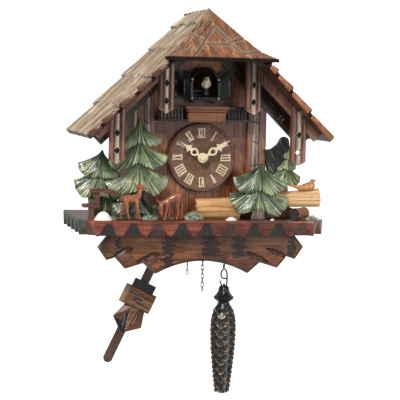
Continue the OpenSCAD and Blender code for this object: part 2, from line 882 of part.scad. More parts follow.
module speaker() {
    color("#303030") house() translate([-34, -back_t, -38]) rotate([90, 0, 0]) rotate_extrude() polygon([
        [0, 3], [10, 1], [16, 0], [18, 0], [18, 3], [11, 7], [8, 7], [8, 12], [0, 12]
    ]);
}

module night_switch() {
    color("white") house() {
        translate([-20, -cover_back - 5.6, -3.6]) cube([8, 4, 7.2]);
        translate([-17.5, -cover_back - 2, -2]) cube([3, 4.5, 4]);
    }
}

module case_screws() {
    color("silver") house() for (x = [-41, 41], z = [-17, 35]) translate([x, 0, z]) {
        rod_y(cover_back, cover_back + 6, 1.3);
        rod_y(cover_back - 1.4, cover_back, 2.6);
    }
}

back_panel();
side_walls();
front_wall();
shelf();
skirt_board();
roof_left();
roof_right();
hip_board();
gable_braces();
rafters();
outer_posts();
inner_posts();
corner_posts();
dial();
numerals();
dial_nut();
minute_hand();
hour_hand();
hand_nut();
door_frame();
door_left();
door_right();
cuckoo();
cuckoo_carriage();
cuckoo_rail();
sill_box();
railings();
tree_left_front();
tree_left_rear();
tree_right_front();
tree_right_rear();
deer_standing();
deer_grazing();
bench();
split_log_left();
split_log_right();
round_log();
songbird();
moss_tufts();
pebbles();
pendulum_rod();
pendulum_ornament();
pendulum_hanger();
weight_cone();
weight_hook();
chains();
movement_case();
movement_cover();
minute_arbor();
hour_wheel();
setting_wheel();
batteries();
battery_contacts();
circuit_board();
motor_coil();
speaker();
night_switch();
case_screws();
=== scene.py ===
"""Looks of the chalet cuckoo clock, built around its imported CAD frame."""

import math

import bmesh
import bpy
import numpy as np
from mathutils import Matrix, Vector


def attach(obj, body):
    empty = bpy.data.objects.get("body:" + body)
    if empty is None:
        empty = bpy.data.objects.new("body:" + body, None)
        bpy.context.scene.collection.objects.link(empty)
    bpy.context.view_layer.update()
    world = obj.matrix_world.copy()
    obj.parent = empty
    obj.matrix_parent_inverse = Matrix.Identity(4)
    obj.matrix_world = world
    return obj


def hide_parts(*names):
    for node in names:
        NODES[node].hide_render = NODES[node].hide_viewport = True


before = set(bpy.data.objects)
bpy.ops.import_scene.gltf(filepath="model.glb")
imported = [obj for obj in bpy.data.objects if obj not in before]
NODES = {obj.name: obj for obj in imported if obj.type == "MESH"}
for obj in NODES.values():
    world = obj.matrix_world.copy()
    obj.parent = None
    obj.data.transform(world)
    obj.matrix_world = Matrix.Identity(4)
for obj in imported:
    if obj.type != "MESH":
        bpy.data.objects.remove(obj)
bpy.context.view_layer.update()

# Own units: x to the right, depth in front of the wall and height above the dial centre, in mm.
HOOK = 96.0  # the hanging hole's height above the dial centre
RIDGE_Z, RIDGE_D = 139.0, 106.0  # the ridge's height, and its front end's depth
EAVE_X, EAVE_D = 116.6, 131.8
HIP_X, HIP_D = 49.6, 155.6  # where the hip's mitre meets the raked verge
ROOF_T = 6.6
ROOT2 = math.sqrt(2)
TURN = 2 * math.pi
UNDER = RIDGE_Z - ROOF_T * ROOT2  # height of the roof's underside at the ridge
SHELF_Z, SHELF_LOW, SHELF_D, SHELF_X = -57.0, -71.3, 118.0, 117.0
WALL_D = 84.0  # the front board's face
SWING_D, SWING_Z, SWING_TILT = 50.0, -28.4, math.radians(25.3)  # the pendulum's pivot and rest angle
CONE_X, CONE_D = 28.5, 74.0


# ---- materials --------------------------------------------------------------


def linear(rgb):
    return tuple(
        (c / 255 / 12.92) if c / 255 <= 0.04045 else ((c / 255 + 0.055) / 1.055) ** 2.4
        for c in rgb
    ) + (1.0,)


class Paint:
    """A material's node tree, with short calls for the nodes that the finishes share."""

    def __init__(self, name, **sockets):
        self.material = bpy.data.materials.new(name)
        self.material.use_nodes = True
        self.tree = self.material.node_tree
        self.shader = self.tree.nodes["Principled BSDF"]
        for key, value in sockets.items():
            self.shader.inputs[key.replace("_", " ")].default_value = value

    def node(self, kind, **values):
        n = self.tree.nodes.new("ShaderNode" + kind)
        for key, value in values.items():
            setattr(n, key, value)
        return n

    def link(self, value, socket):
        if isinstance(value, bpy.types.NodeSocket):
            self.tree.links.new(value, socket)
        else:
            socket.default_value = value

    def place(self, scale, turn=(0, 0, 0)):
        """Object coordinates, turned and then scaled."""
        where = self.node("TexCoord").outputs["Object"]
        if any(turn):
            spin = self.node("Mapping")
            spin.inputs["Rotation"].default_value = turn
            self.link(where, spin.inputs["Vector"])
            where = spin.outputs["Vector"]
        grow = self.node("Mapping")
        grow.inputs["Scale"].default_value = scale
        self.link(where, grow.inputs["Vector"])
        return grow.outputs["Vector"]

    def noise(self, where, scale=1.0, detail=4.0, rough=0.55, warp=0.0):
        n = self.node("TexNoise")
        self.link(where, n.inputs["Vector"])
        for key, value in zip(("Scale", "Detail", "Roughness", "Distortion"), (scale, detail, rough, warp)):
            n.inputs[key].default_value = value
        return n.outputs["Fac"]

    def cloud(self, size, *shape):
        """Noise that is as wide as it is high and deep."""
        return self.noise(self.place((size, size, size)), 1.0, *shape)

    def cells(self, size):
        n = self.node("TexVoronoi")
        self.link(self.place((size, size, size)), n.inputs["Vector"])
        n.inputs["Scale"].default_value = 1.0
        return n.outputs["Distance"]

    def math(self, operation, a, b=0.0, clamp=False):
        n = self.node("Math", operation=operation, use_clamp=clamp)
        self.link(a, n.inputs[0])
        self.link(b, n.inputs[1])
        return n.outputs[0]

    def ramp(self, value, *stops):
        n = self.node("ValToRGB")
        points = n.color_ramp.elements
        while len(points) < len(stops):
            points.new(0.5)
        for point, (at, colour) in zip(points, stops):
            point.position = at
            point.color = linear(colour)
        self.link(value, n.inputs[0])
        return n.outputs["Color"]

    def span(self, value, low, high, to_low=0.0, to_high=1.0):
        n = self.node("MapRange")
        for socket, v in zip(n.inputs, (value, low, high, to_low, to_high)):
            self.link(v, socket)
        return n.outputs[0]

    def mix(self, share, a, b, kind="MIX"):
        n = self.node("Mix", data_type="RGBA", blend_type=kind)
        for socket, v in zip((n.inputs["Factor"], n.inputs[6], n.inputs[7]), (share, a, b)):
            self.link(v, socket)
        return n.outputs[2]

    def tone(self):
        """What the mesh carries: a signed shade, which is random tone and in places painted shade; how deep a cut
        is, which darkens hollows as painted shade and also holds real dark marks; and a light mark, which is
        painted highlight and reflection in most places and real flecks or rubbed edges in others.
        """
        n = self.node("Attribute", attribute_name="tone")
        split = self.node("SeparateColor")
        self.link(n.outputs["Color"], split.inputs[0])
        return split.outputs[0], split.outputs[1], split.outputs[2]

    def over(self, colour, amount, share, rgb):
        """Lays rgb over the colour where a tone of the mesh says so."""
        return self.mix(self.math("MULTIPLY", amount, share, True), colour, linear(rgb))

    def bump(self, height, strength, distance):
        n = self.node("Bump")
        n.inputs["Strength"].default_value = strength
        n.inputs["Distance"].default_value = distance
        self.link(height, n.inputs["Height"])
        return n.outputs["Normal"]

    def done(self, colour, rough, normal):
        for value, key in ((colour, "Base Color"), (rough, "Roughness"), (normal, "Normal")):
            self.link(value, self.shader.inputs[key])
        return self.material


GRAIN = {"x": (18, 300, 300), "y": (300, 18, 300), "z": (300, 300, 18)}


def wood(name, dark, mid, light, grain, size, gloss, coat, relief,
         cut=(38, 24, 17), mark=(190, 190, 170), blotch=0.5, turn=(0, 0, 0)):
    """Stained wood: streaks along the grain, blotches of stain, pores, and the mesh's own cuts and marks, which
    paint shade into hollows and highlights and reflections onto edges, besides real dark lines and flecks.
    """
    p = Paint(name, Coat_Weight=coat, Coat_Roughness=0.18)
    where = p.place(tuple(s * size for s in GRAIN[grain]), turn)
    streaks = p.noise(where, 1.0, 7.0, 0.68, 0.9)
    colour = p.ramp(streaks, (0.28, dark), (0.5, mid), (0.74, light))
    lines = p.noise(where, 3.4, 3.0, 0.7, 0.3)
    colour = p.mix(p.span(lines, 0.54, 0.72, 0.0, 0.62), colour, linear(cut))
    stain = p.mix(1.0, colour, linear(dark), "MULTIPLY")
    colour = p.mix(p.span(p.cloud(36, 3.0, 0.6, 0.4), 0.42, 0.68, 0.0, blotch), colour, stain)
    shade, cuts, marks = p.tone()
    scaled = p.node("VectorMath", operation="SCALE")
    p.link(colour, scaled.inputs[0])
    p.link(p.span(shade, -1.0, 1.0, 0.45, 1.55), scaled.inputs["Scale"])
    # cut colours the grain lines and the mesh's cuts, partly painted shade; mark colours the light marks, mostly
    # painted highlights and reflections.
    colour = p.over(scaled.outputs[0], cuts, 0.92, cut)
    colour = p.over(colour, marks, 0.8, mark)
    return p.done(colour, p.span(streaks, 0.3, 0.8, gloss - 0.08, gloss + 0.14),
                  p.bump(lines, relief, 0.0003))


def plain(name, rgb, rough=0.4, vary=0.12, metal=0.0, coat=0.0, grit=900.0, relief=0.12):
    """Moulded or painted surfaces: a fine orange-peel relief with uneven shade and gloss."""
    p = Paint(name, Metallic=metal, Coat_Weight=coat)
    cloud = p.cloud(90, 5.0, 0.6, 0.3)
    low, high = (tuple(min(255, c * k) for c in rgb) for k in (1 - vary, 1 + vary))
    colour = p.over(p.ramp(cloud, (0.3, low), (0.7, high)), p.tone()[1], 0.9, tuple(c * 0.25 for c in rgb))
    grain = p.cloud(grit, 2.0)
    return p.done(colour, p.span(cloud, 0.25, 0.75, rough - 0.06, rough + 0.1),
                  p.bump(grain, relief, 0.0002))


def foliage():
    """Hand-glazed carved needles: dark green in the cuts as painted shade, and yellow-green and grey on the
    ridges as painted highlights.
    """
    p = Paint("tree_glaze", Coat_Weight=0.7, Coat_Roughness=0.16)
    shade, cuts, marks = p.tone()
    cloud = p.noise(p.place((120, 120, 70)), 1.0, 5.0, 0.65, 0.5)
    level = p.math("ADD", p.math("MULTIPLY", shade, 0.34), p.span(cloud, 0.2, 0.8, 0.1, 0.9))
    colour = p.ramp(level, (0.1, (24, 36, 28)), (0.4, (72, 90, 62)), (0.66, (130, 144, 94)),
                    (0.95, (206, 214, 156)))
    # Painted shade in the grooves and under the tier above.
    colour = p.over(colour, cuts, 0.9, (20, 28, 24))
    # Painted highlight streaks on the ridges.
    colour = p.over(colour, marks, 0.85, (214, 218, 196))
    fine = p.noise(p.place((700, 700, 260)), 1.0, 3.0, 0.7)
    return p.done(colour, p.span(cloud, 0.2, 0.8, 0.22, 0.42), p.bump(fine, 0.3, 0.0003))


def night():
    """The rear tree's unlit carved face, as painted shade: nearly black over leaning gouge lines, whose light
    grey-green strokes are painted reflection.
    """
    p = Paint("rear_tree_painted_shade", Coat_Weight=0.2, Coat_Roughness=0.3)
    lines = p.noise(p.place((420, 300, 40), (0, 0.5, 0)), 1.0, 4.0, 0.7, 0.8)
    # Near-black painted shade, with grey-green painted reflection on the strokes.
    colour = p.ramp(lines, (0.4, (12, 16, 14)), (0.56, (30, 38, 32)), (0.7, (132, 148, 130)))
    return p.done(colour, 0.5, p.bump(lines, 0.6, 0.0006))


def fur():
    """Painted fawn coat with light spots."""
    p = Paint("deer_coat", Coat_Weight=0.4, Coat_Roughness=0.2)
    pale = (240, 222, 200)
    cloud = p.cloud(160, 5.0, 0.6, 0.4)
    colour = p.ramp(cloud, (0.25, (98, 46, 24)), (0.5, (152, 78, 42)), (0.8, (196, 124, 78)))
    spots = p.span(p.cells(290), 0.16, 0.3, 0.85, 0.0)
    gate = p.span(p.cloud(110, 2.0), 0.5, 0.56)
    colour = p.mix(p.math("MULTIPLY", spots, gate), colour, linear(pale))
    _, cuts, marks = p.tone()
    colour = p.over(p.over(colour, cuts, 0.9, (60, 30, 20)), marks, 0.9, pale)
    return p.done(colour, p.span(cloud, 0.2, 0.8, 0.28, 0.45), p.bump(p.cloud(900), 0.2, 0.0002))


def bronze():
    """Dark patinated casting, rubbed to copper where the mesh marks its edges; the rub runs up to near-white,
    which is painted highlight.
    """
    p = Paint("cone_bronze", Metallic=0.55, Coat_Weight=0.3, Coat_Roughness=0.2)
    cloud = p.cloud(200, 5.0, 0.6, 0.4)
    colour = p.ramp(cloud, (0.3, (26, 30, 28)), (0.52, (48, 54, 50)), (0.75, (84, 84, 74)))
    _, cuts, marks = p.tone()
    rub = p.math("MULTIPLY", marks, p.span(cloud, 0.3, 0.6, 0.55, 1.0), True)
    # Copper rub that runs up to near-white painted highlights.
    glow = p.ramp(p.cloud(260, 2.0), (0.35, (150, 86, 60)), (0.5, (206, 148, 120)), (0.66, (250, 226, 206)))
    colour = p.over(p.mix(rub, colour, glow), cuts, 0.9, (16, 15, 14))
    return p.done(colour, p.span(cloud, 0.2, 0.8, 0.24, 0.42), p.bump(p.cloud(800), 0.25, 0.0002))


def moss():
    p = Paint("dried_moss")
    cloud = p.cloud(400, 4.0)
    colour = p.ramp(cloud, (0.3, (96, 104, 84)), (0.48, (158, 166, 142)), (0.66, (214, 218, 200)))
    return p.done(colour, p.span(cloud, 0.2, 0.8, 0.7, 0.9), p.bump(cloud, 0.4, 0.0003))


QUARTER = math.pi / 4
SLOPE_L, SLOPE_R, HIP_TURN, LOG_TURN = (0, QUARTER, 0), (0, -QUARTER, 0), (QUARTER, 0, 0), (0, 0, QUARTER)
M = {
    # The roof woods' grey-green marks paint glints and reflections.
    "roof_l": wood("roof_left_wood", (84, 50, 34), (188, 162, 132), (250, 240, 220), "x", 1.2, 0.42, 0.15,
                   0.8,
                   (74, 40, 24), (178, 188, 168), 0.3, SLOPE_L),
    "roof_r": wood("roof_right_wood", (118, 66, 34), (170, 100, 56), (205, 140, 92), "x", 1.3, 0.38, 0.2,
                   0.5,
                   (52, 28, 18), (168, 170, 150), turn=SLOPE_R),
    "verge": wood("verge_wood", (112, 58, 32), (184, 112, 64), (226, 160, 104), "x", 1.2, 0.34, 0.3, 0.3,
                  turn=SLOPE_R),
    # The hip's pale mark paints its band of reflection and its highlights.
    "hip": wood("hip_wood", (84, 46, 24), (134, 79, 42), (188, 132, 84), "z", 1.2, 0.42, 0.12, 0.5,
                (44, 28, 20), (158, 142, 118), turn=HIP_TURN),
    "soffit": wood("soffit_wood", (34, 20, 14), (58, 36, 26), (88, 58, 42), "y", 0.8, 0.34, 0.3, 0.25),
    "facade": wood("facade_wood", (76, 36, 20), (146, 81, 43), (226, 158, 96), "z", 1.2, 0.26, 0.5, 0.7,
                   (52, 26, 16), blotch=0.7),
    "gold": wood("gable_wood", (150, 86, 38), (222, 146, 78), (248, 196, 126), "z", 1.1, 0.3, 0.35, 0.35,
                 (54, 28, 16), blotch=0.6),
    "dark": wood("dark_wood", (34, 22, 17), (64, 43, 34), (116, 84, 66), "x", 1.0, 0.24, 0.6, 0.2,
                 turn=SLOPE_R),
    "post": wood("post_wood", (94, 56, 40), (150, 99, 74), (200, 146, 114), "z", 1.0, 0.28, 0.5, 0.2),
    # The bead's near-white mark paints the highlight down each post's bead.
    "bead": wood("bead_wood", (92, 66, 55), (160, 128, 111), (228, 206, 190), "z", 0.8, 0.14, 1.0, 0.2,
                 (34, 22, 18), (246, 238, 230)),
    "bark": wood("bark_wood", (60, 44, 36), (140, 114, 98), (226, 208, 194), "z", 1.6, 0.4, 0.3, 0.9,
                 (30, 21, 16), (240, 230, 220)),
    "shelf": wood("shelf_wood", (80, 32, 21), (140, 64, 42), (194, 114, 80), "x", 0.6, 0.14, 0.95, 0.12,
                  (34, 18, 14), blotch=0.8),
    # Grey-green for the shelf's left end and corner and the apron's edges: painted reflection of cool light on
    # the lacquer.
    "glaze": wood("painted_reflection_edge", (44, 48, 44), (78, 84, 76), (118, 124, 112), "x", 0.5, 0.4, 0.2, 0.15),
    "log_bark": wood("log_bark_wood", (84, 52, 34), (140, 92, 62), (186, 140, 106), "x", 1.2, 0.34, 0.35,
                     0.9,
                     (46, 28, 18), turn=LOG_TURN),
    # A warmer, lighter painted shade for some of the shelf's downward facets and their left flanks.
    "shelf_mid": wood("shelf_warm_facets", (52, 28, 24), (100, 54, 44), (148, 92, 76), "x", 0.6, 0.13, 0.95,
                      0.12,
                      (20, 14, 12), blotch=0.8),
    "shelf_top": wood("shelf_face", (58, 26, 18), (98, 50, 34), (134, 78, 56), "x", 0.6, 0.38, 0.3, 0.15,
                      (34, 18, 14), blotch=0.6),
    # Near-black for the shelf's downward facets: painted shade.
    "shelf_in_shade": wood("painted_shade_shelf_facets", (20, 16, 19), (44, 29, 29), (86, 54, 48), "x", 0.6, 0.13, 0.95, 0.12,
                      (14, 12, 14), blotch=0.8),
    # The apron's grey-green mark paints reflection on its chamfers that face left.
    "skirt": wood("skirt_wood", (70, 36, 20), (124, 72, 40), (174, 114, 68), "x", 1.0, 0.34, 0.25, 0.3,
                  (20, 12, 9), (88, 94, 84), 0.7),
    "log_pale": wood("pale_log_wood", (206, 156, 98), (232, 192, 138), (248, 224, 180), "x", 0.7, 0.42, 0.15,
                     0.5,
                     (150, 98, 52), blotch=0.25),
    "dial": wood("dial_wood", (108, 76, 59), (137, 100, 80), (164, 123, 99), "y", 0.5, 0.58, 0.04, 0.12,
                 blotch=0.2),
    "sill": wood("sill_wood", (98, 56, 36), (138, 86, 56), (168, 114, 78), "x", 0.9, 0.32, 0.3, 0.2),
    # Near-black for the edges of the roof boards and the hip: painted shade.
    "shadow": wood("painted_shade_edge_wood", (20, 16, 13), (34, 25, 20), (56, 40, 32), "x", 1.0, 0.6, 0.0, 0.2),
    "inset": wood("inset_wood", (78, 46, 34), (112, 72, 54), (146, 104, 82), "x", 1.0, 0.34, 0.3, 0.2),
    "rail": wood("rail_wood", (16, 13, 12), (28, 23, 20), (52, 42, 36), "x", 1.0, 0.3, 0.4, 0.2),
    # Light grey-brown for the left spindles: painted highlights on dark balusters.
    "spindle": wood("painted_highlight_spindle_wood", (60, 52, 46), (112, 100, 90), (176, 164, 150), "z", 1.2, 0.3, 0.5, 0.2),
    "bench": wood("bench_wood", (72, 40, 28), (112, 68, 50), (158, 108, 82), "x", 1.0, 0.36, 0.3, 0.3),
    "log": wood("split_log_wood", (184, 132, 80), (216, 170, 114), (240, 208, 156), "x", 0.7, 0.42, 0.15,
                0.5,
                (128, 76, 36), blotch=0.35),
    "bird": wood("songbird_wood", (178, 112, 58), (214, 150, 88), (236, 184, 124), "x", 0.8, 0.36, 0.3, 0.2),
    "rod": wood("rod_wood", (66, 42, 32), (94, 64, 50), (120, 86, 68), "z", 1.0, 0.42, 0.15, 0.25),
    # The block's light mark paints the highlight on its left chamfer.
    "block": wood("block_wood", (84, 52, 26), (146, 100, 54), (194, 142, 84), "x", 1.0, 0.26, 0.5, 0.3,
                  (58, 25, 19), (196, 160, 116)),
    "raw": wood("back_wood", (150, 110, 70), (184, 144, 98), (208, 172, 126), "z", 0.5, 0.6, 0.0, 0.3),
    "inner": wood("inner_wood", (110, 74, 46), (146, 104, 68), (176, 132, 92), "z", 0.6, 0.6, 0.0, 0.3),
    "black": plain("black_plastic", (26, 30, 30), 0.22, 0.2, coat=0.3),
    "case": plain("case_plastic", (24, 24, 26), 0.45, 0.15),
    "ivory": plain("ivory_plastic", (236, 220, 184), 0.38, 0.05),
    "cream": plain("cream_paint", (232, 220, 182), 0.35, 0.08),
    "white": plain("white_plastic", (228, 228, 224), 0.4, 0.03),
    "brass": plain("brass_metal", (176, 146, 96), 0.32, 0.08, metal=1.0),
    "steel": plain("steel_wire", (150, 148, 142), 0.28, 0.1, metal=1.0),
    "iron": plain("black_iron", (26, 28, 28), 0.32, 0.25, metal=0.6),
    "copper": plain("copper_winding", (196, 106, 60), 0.3, 0.08, metal=1.0),
    "cell": plain("cell_sleeve", (196, 150, 60), 0.3, 0.08),
    "board": plain("board_mask", (22, 78, 44), 0.35, 0.12),
    "stone": plain("pebble_stone", (246, 244, 240), 0.5, 0.03, grit=500.0, relief=0.4),
    "tree": foliage(), "night": night(), "deer": fur(), "bronze": bronze(), "moss": moss(),
}
M["shadow"].node_tree.nodes["Principled BSDF"].inputs["Specular IOR Level"].default_value = 0.1


# ---- meshes -----------------------------------------------------------------


def metres(points):
    """Own units to the row frame."""
    p = np.asarray(points, float).reshape(-1, 3)
    return np.stack([p[:, 0], -p[:, 1], p[:, 2] - HOOK], 1) * 1e-3


def unit(values):
    return np.clip(values, 0, 1)


def grid(*layers):
    """Arrays side by side, stretched to one shape: points from coordinates, or tones from three parts."""
    return np.stack(np.broadcast_arrays(*layers), -1)


def around(count):
    return np.linspace(0, TURN, count, endpoint=False)


def set_tone(mesh, tone):
    values = np.ones((len(mesh.vertices), 4), np.float32)
    values[:, :3] = np.asarray(tone, float).reshape(-1, 3)
    mesh.attributes.new("tone", "FLOAT_COLOR", "POINT").data.foreach_set("color", values.ravel())


def put(name, data):
    obj = bpy.data.objects.new(name, data)
    bpy.context.scene.collection.objects.link(obj)
    return obj


def evaluated(obj):
    return bpy.data.meshes.new_from_object(obj.evaluated_get(bpy.context.evaluated_depsgraph_get()))


def raw_mesh(name, points, faces):
    mesh = bpy.data.meshes.new(name)
    mesh.from_pydata(metres(points).tolist(), [], [list(f) for f in faces])
    return mesh


def through_bmesh(mesh, work):
    bm = bmesh.new()
    bm.from_mesh(mesh)
    work(bm)
    bm.to_mesh(mesh)
    bm.free()


def face_outward(mesh):
    through_bmesh(mesh, lambda bm: bmesh.ops.recalc_face_normals(bm, faces=bm.faces))


def adopt(obj, body, stands=()):
    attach(obj, body)
    if stands:
        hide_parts(*([stands] if isinstance(stands, str) else stands))
    return obj


def build(name, points, faces, look, body="house", stands=(), slot=None, tone=None, angle=35, looks=None):
    """One piece from points and faces. looks gives each face's place in the list of materials."""
    mesh = raw_mesh(name, points, faces)
    for key in (look if isinstance(look, (list, tuple)) else [look]):
        mesh.materials.append(M[key])
    if looks is not None:
        mesh.polygons.foreach_set("material_index", np.asarray(looks, np.int32))
    if tone is not None:
        set_tone(mesh, tone)
    face_outward(mesh)
    mesh.shade_smooth()
    mesh.set_sharp_from_angle(angle=math.radians(angle))
    return adopt(put(name, mesh), body, stands)


def bevel(obj, width, segments=2, angle=35, dissolve=False):
    """Eased edges, as a modifier, so that a CAD mesh stays as it is."""
    if dissolve:
        flat = obj.modifiers.new("flat", "DECIMATE")
        flat.decimate_type = "DISSOLVE"
        flat.angle_limit = math.radians(2)
    m = obj.modifiers.new("ease", "BEVEL")
    m.width = width * 1e-3
    m.segments = segments
    m.limit_method = "ANGLE"
    m.angle_limit = math.radians(angle)
    m.use_clamp_overlap = True
    m.harden_normals = False
    return obj


def merged(parts):
    """Joins several (points, faces) into one."""
    points, faces, start = [], [], 0
    for p, f in parts:
        points.append(np.asarray(p, float).reshape(-1, 3))
        faces += [tuple(start + i for i in face) for face in f]
        start += len(points[-1])
    return np.concatenate(points), faces


def piece(name, parts, look, ease=0, segments=2, ease_angle=35, **rest):
    """One piece from several parts. ease is the width of its bevels."""
    obj = build(name, *merged(parts), look, **rest)
    return bevel(obj, ease, segments, ease_angle) if ease else obj


def quads(rows, cols, wrap=False):
    """Faces of a grid of points stored row by row. wrap joins the last column to the first."""
    found = []
    for i in range(rows - 1):
        for j in range(cols if wrap else cols - 1):
            a, b = i * cols + j, i * cols + (j + 1) % cols
            found.append((a, b, b + cols, a + cols))
    return found


def rim(rows, cols):
    """The grid's outer points, once round."""
    return (
        list(range(cols))
        + [i * cols + cols - 1 for i in range(1, rows)]
        + [(rows - 1) * cols + j for j in range(cols - 2, -1, -1)]
        + [i * cols for i in range(rows - 2, 0, -1)]
    )


def band(a, b):
    """Faces between two rings of as many points."""
    n = len(a)
    return [(a[i], a[(i + 1) % n], b[(i + 1) % n], b[i]) for i in range(n)]


def slab(name, top, under, look, tone, side_look=None, back_look=None, **rest):
    """A closed board. top is a grid of points; under is the back's depth, or turns rim points into lower ones."""
    flat = top.reshape(-1, 3)
    ring = rim(*top.shape[:2])
    low = under(flat[ring]) if callable(under) else flat[ring] * (1, 0, 1) + (0, under, 0)
    faces = quads(*top.shape[:2])
    looks = [0] * len(faces) + [1] * len(ring) + [2]
    back = tuple(range(len(flat), len(flat) + len(ring)))
    shades = np.concatenate([tone.reshape(-1, 3), np.zeros((len(ring), 3))])
    return build(name, np.concatenate([flat, low]), faces + band(ring, back) + [back],
                 [look, side_look or look, back_look or side_look or look], tone=shades, looks=looks, **rest)


def wobble(a, b, seed):
    """Smooth repeatable noise over arrays, about -1 to 1."""
    r = np.random.default_rng(seed)
    total = np.zeros(np.broadcast(a, b).shape)
    for k in range(7):
        fa, fb = r.normal(0, 1, 2) * (1 + 0.5 * k)
        total = total + np.sin(a * fa + b * fb + r.uniform(0, 6.28)) / (1 + 0.4 * k)
    return total / 3.0


def gouge(distance, width):
    """1 at a cut's centre line, fading to 0 at about its width."""
    return np.exp(-((distance / width) ** 2))


def to_segment(x, y, a, b):
    """Distance of points from a segment."""
    (ax, ay), (bx, by) = a, b
    dx, dy = bx - ax, by - ay
    t = unit(((x - ax) * dx + (y - ay) * dy) / (dx * dx + dy * dy))
    return np.hypot(x - ax - t * dx, y - ay - t * dy)


def lathe(profile, turns=48):
    """Points and faces of an outline of (r, z) turned about Z, with closed ends where r is 0."""
    points, faces, rings = [], [], []
    for r, z in profile:
        if r < 1e-6:
            rings.append([len(points)])
            points.append((0, 0, z))
        else:
            rings.append(list(range(len(points), len(points) + turns)))
            points += [(r * math.cos(TURN * k / turns), r * math.sin(TURN * k / turns),
                        z) for k in range(turns)]
    for a, b in zip(rings, rings[1:]):
        for k in range(turns):
            face = dict.fromkeys([a[k % len(a)], a[(k + 1) % len(a)], b[(k + 1) % len(b)], b[k % len(b)]])
            if len(face) > 2:
                faces.append(tuple(face))
    return np.array(points, float), faces


def tube(path, radius, sides=8, shut=False):
    """Points and faces of a round wire along a path. radius may be one number for each point."""
    path = np.asarray(path, float)
    count = len(path)
    radii = np.broadcast_to(radius, count)
    ahead = np.roll(path, -1, 0) - np.roll(path, 1, 0) if shut else np.gradient(path, axis=0)
    ahead /= np.linalg.norm(ahead, axis=1)[:, None]
    side = np.cross(ahead[0], (0.31, 0.17, 0.93))
    points = []
    for i in range(count):
        side = side - ahead[i] * (side @ ahead[i])
        side /= np.linalg.norm(side)
        other = np.cross(ahead[i], side)
        for k in range(sides):
            a = TURN * k / sides
            points.append(path[i] + radii[i] * (math.cos(a) * side + math.sin(a) * other))
    first, last = tuple(range(sides)), tuple(range((count - 1) * sides, count * sides))
    return np.array(points), quads(count, sides, True) + (band(last, first) if shut else [first, last])


def shell(points):
    """Faces of a prism whose points are one outline and then the same outline further on."""
    n = len(points) // 2
    low, high = tuple(range(n)), tuple(range(n, 2 * n))
    return np.array(points, float), [low, high] + band(low, high)


def prism(outline, low, high):
    """An (x, height) outline extruded along depth."""
    return shell([(x, d, z) for d in (low, high) for x, z in outline])


def block(x0, x1, d0, d1, z0, z1):
    return prism([(x0, z0), (x1, z0), (x1, z1), (x0, z1)], d0, d1)


def diamond(x, z, wide, high):
    return [(x - wide, z), (x, z - high), (x + wide, z), (x, z + high)]


def apply_modifiers(obj):
    mesh = evaluated(obj)
    obj.modifiers.clear()
    old = obj.data
    obj.data = mesh
    mesh.name = old.name
    bpy.data.meshes.remove(old)


def carve(obj, *tools):
    """Cuts (points, faces) shapes out of a piece."""
    made = []
    for points, faces in tools:
        mesh = raw_mesh("tool", points, faces)
        face_outward(mesh)
        m = obj.modifiers.new("cut", "BOOLEAN")
        m.operation = "DIFFERENCE"
        m.solver = "EXACT"
        m.object = put("tool", mesh)
        made.append(m.object)
    bpy.context.view_layer.update()
    apply_modifiers(obj)
    for tool in made:
        mesh = tool.data
        bpy.data.objects.remove(tool)
        bpy.data.meshes.remove(mesh)
    obj.data.set_sharp_from_angle(angle=math.radians(35))


def ball(centre, radius, rings=8):
    profile = [(math.sin(math.pi * k / rings), -math.cos(math.pi * k / rings)) for k in range(rings + 1)]
    profile[0], profile[-1] = (0, -1), (0, 1)
    points, faces = lathe(profile, 2 * rings)
    return points * radius + np.array(centre), faces


def limbs(depth, *chains):
    """Tapering round limbs through points (x, depth from the body's middle, height, radius)."""
    parts = []
    for chain in chains:
        path = np.array([(x, depth + away, z) for x, away, z, _ in chain], float)
        radii = [point[3] for point in chain]
        fine, sizes = [path[0]], [radii[0]]
        for a, b, ra, rb in zip(path, path[1:], radii, radii[1:]):
            for t in (0.25, 0.5, 0.75, 1.0):
                fine.append(a + (b - a) * t)
                sizes.append(ra + (rb - ra) * t)
        parts += [tube(fine, sizes, 12)] + [ball(p, r) for p, r in zip(path, radii)]
    return parts


def sculpt(name, parts, look, voxel, paint, body="house", **rest):
    """Overlapping lumps melted into one skin. paint gives the tone from the points."""
    obj = piece(name, parts, look, body=body, **rest)
    m = obj.modifiers.new("skin", "REMESH")
    m.mode = "VOXEL"
    m.voxel_size = voxel * 1e-3
    m.use_smooth_shade = True
    s = obj.modifiers.new("soft", "SMOOTH")
    s.factor = 0.6
    s.iterations = 6
    apply_modifiers(obj)
    obj.data.materials.clear()
    obj.data.materials.append(M[look])
    x, y, z = np.array([v.co for v in obj.data.vertices]).T * 1e3
    set_tone(obj.data, paint(x, -y, z + HOOK))
    obj.data.shade_smooth()


def dress(nodes, look, ease=0.0):
    """CAD nodes as packed, with a finish and eased edges."""
    for name in nodes.split():
        obj = NODES[name]
        obj.data.materials.clear()
        obj.data.materials.append(M[look])
        if ease:
            bevel(obj, ease, dissolve=True)


# ---- roof -------------------------------------------------------------------


def raked(x):
    """Depth of the verge below the hip, as a line that goes on upwards."""
    return HIP_D - (x - HIP_X) * (HIP_D - EAVE_D) / (EAVE_X - HIP_X)


def verge(x):
    """Depth of the roof's front edge: the hip's mitre, and then the raked verge down to the eave."""
    return np.minimum(RIDGE_D + x, raked(x))


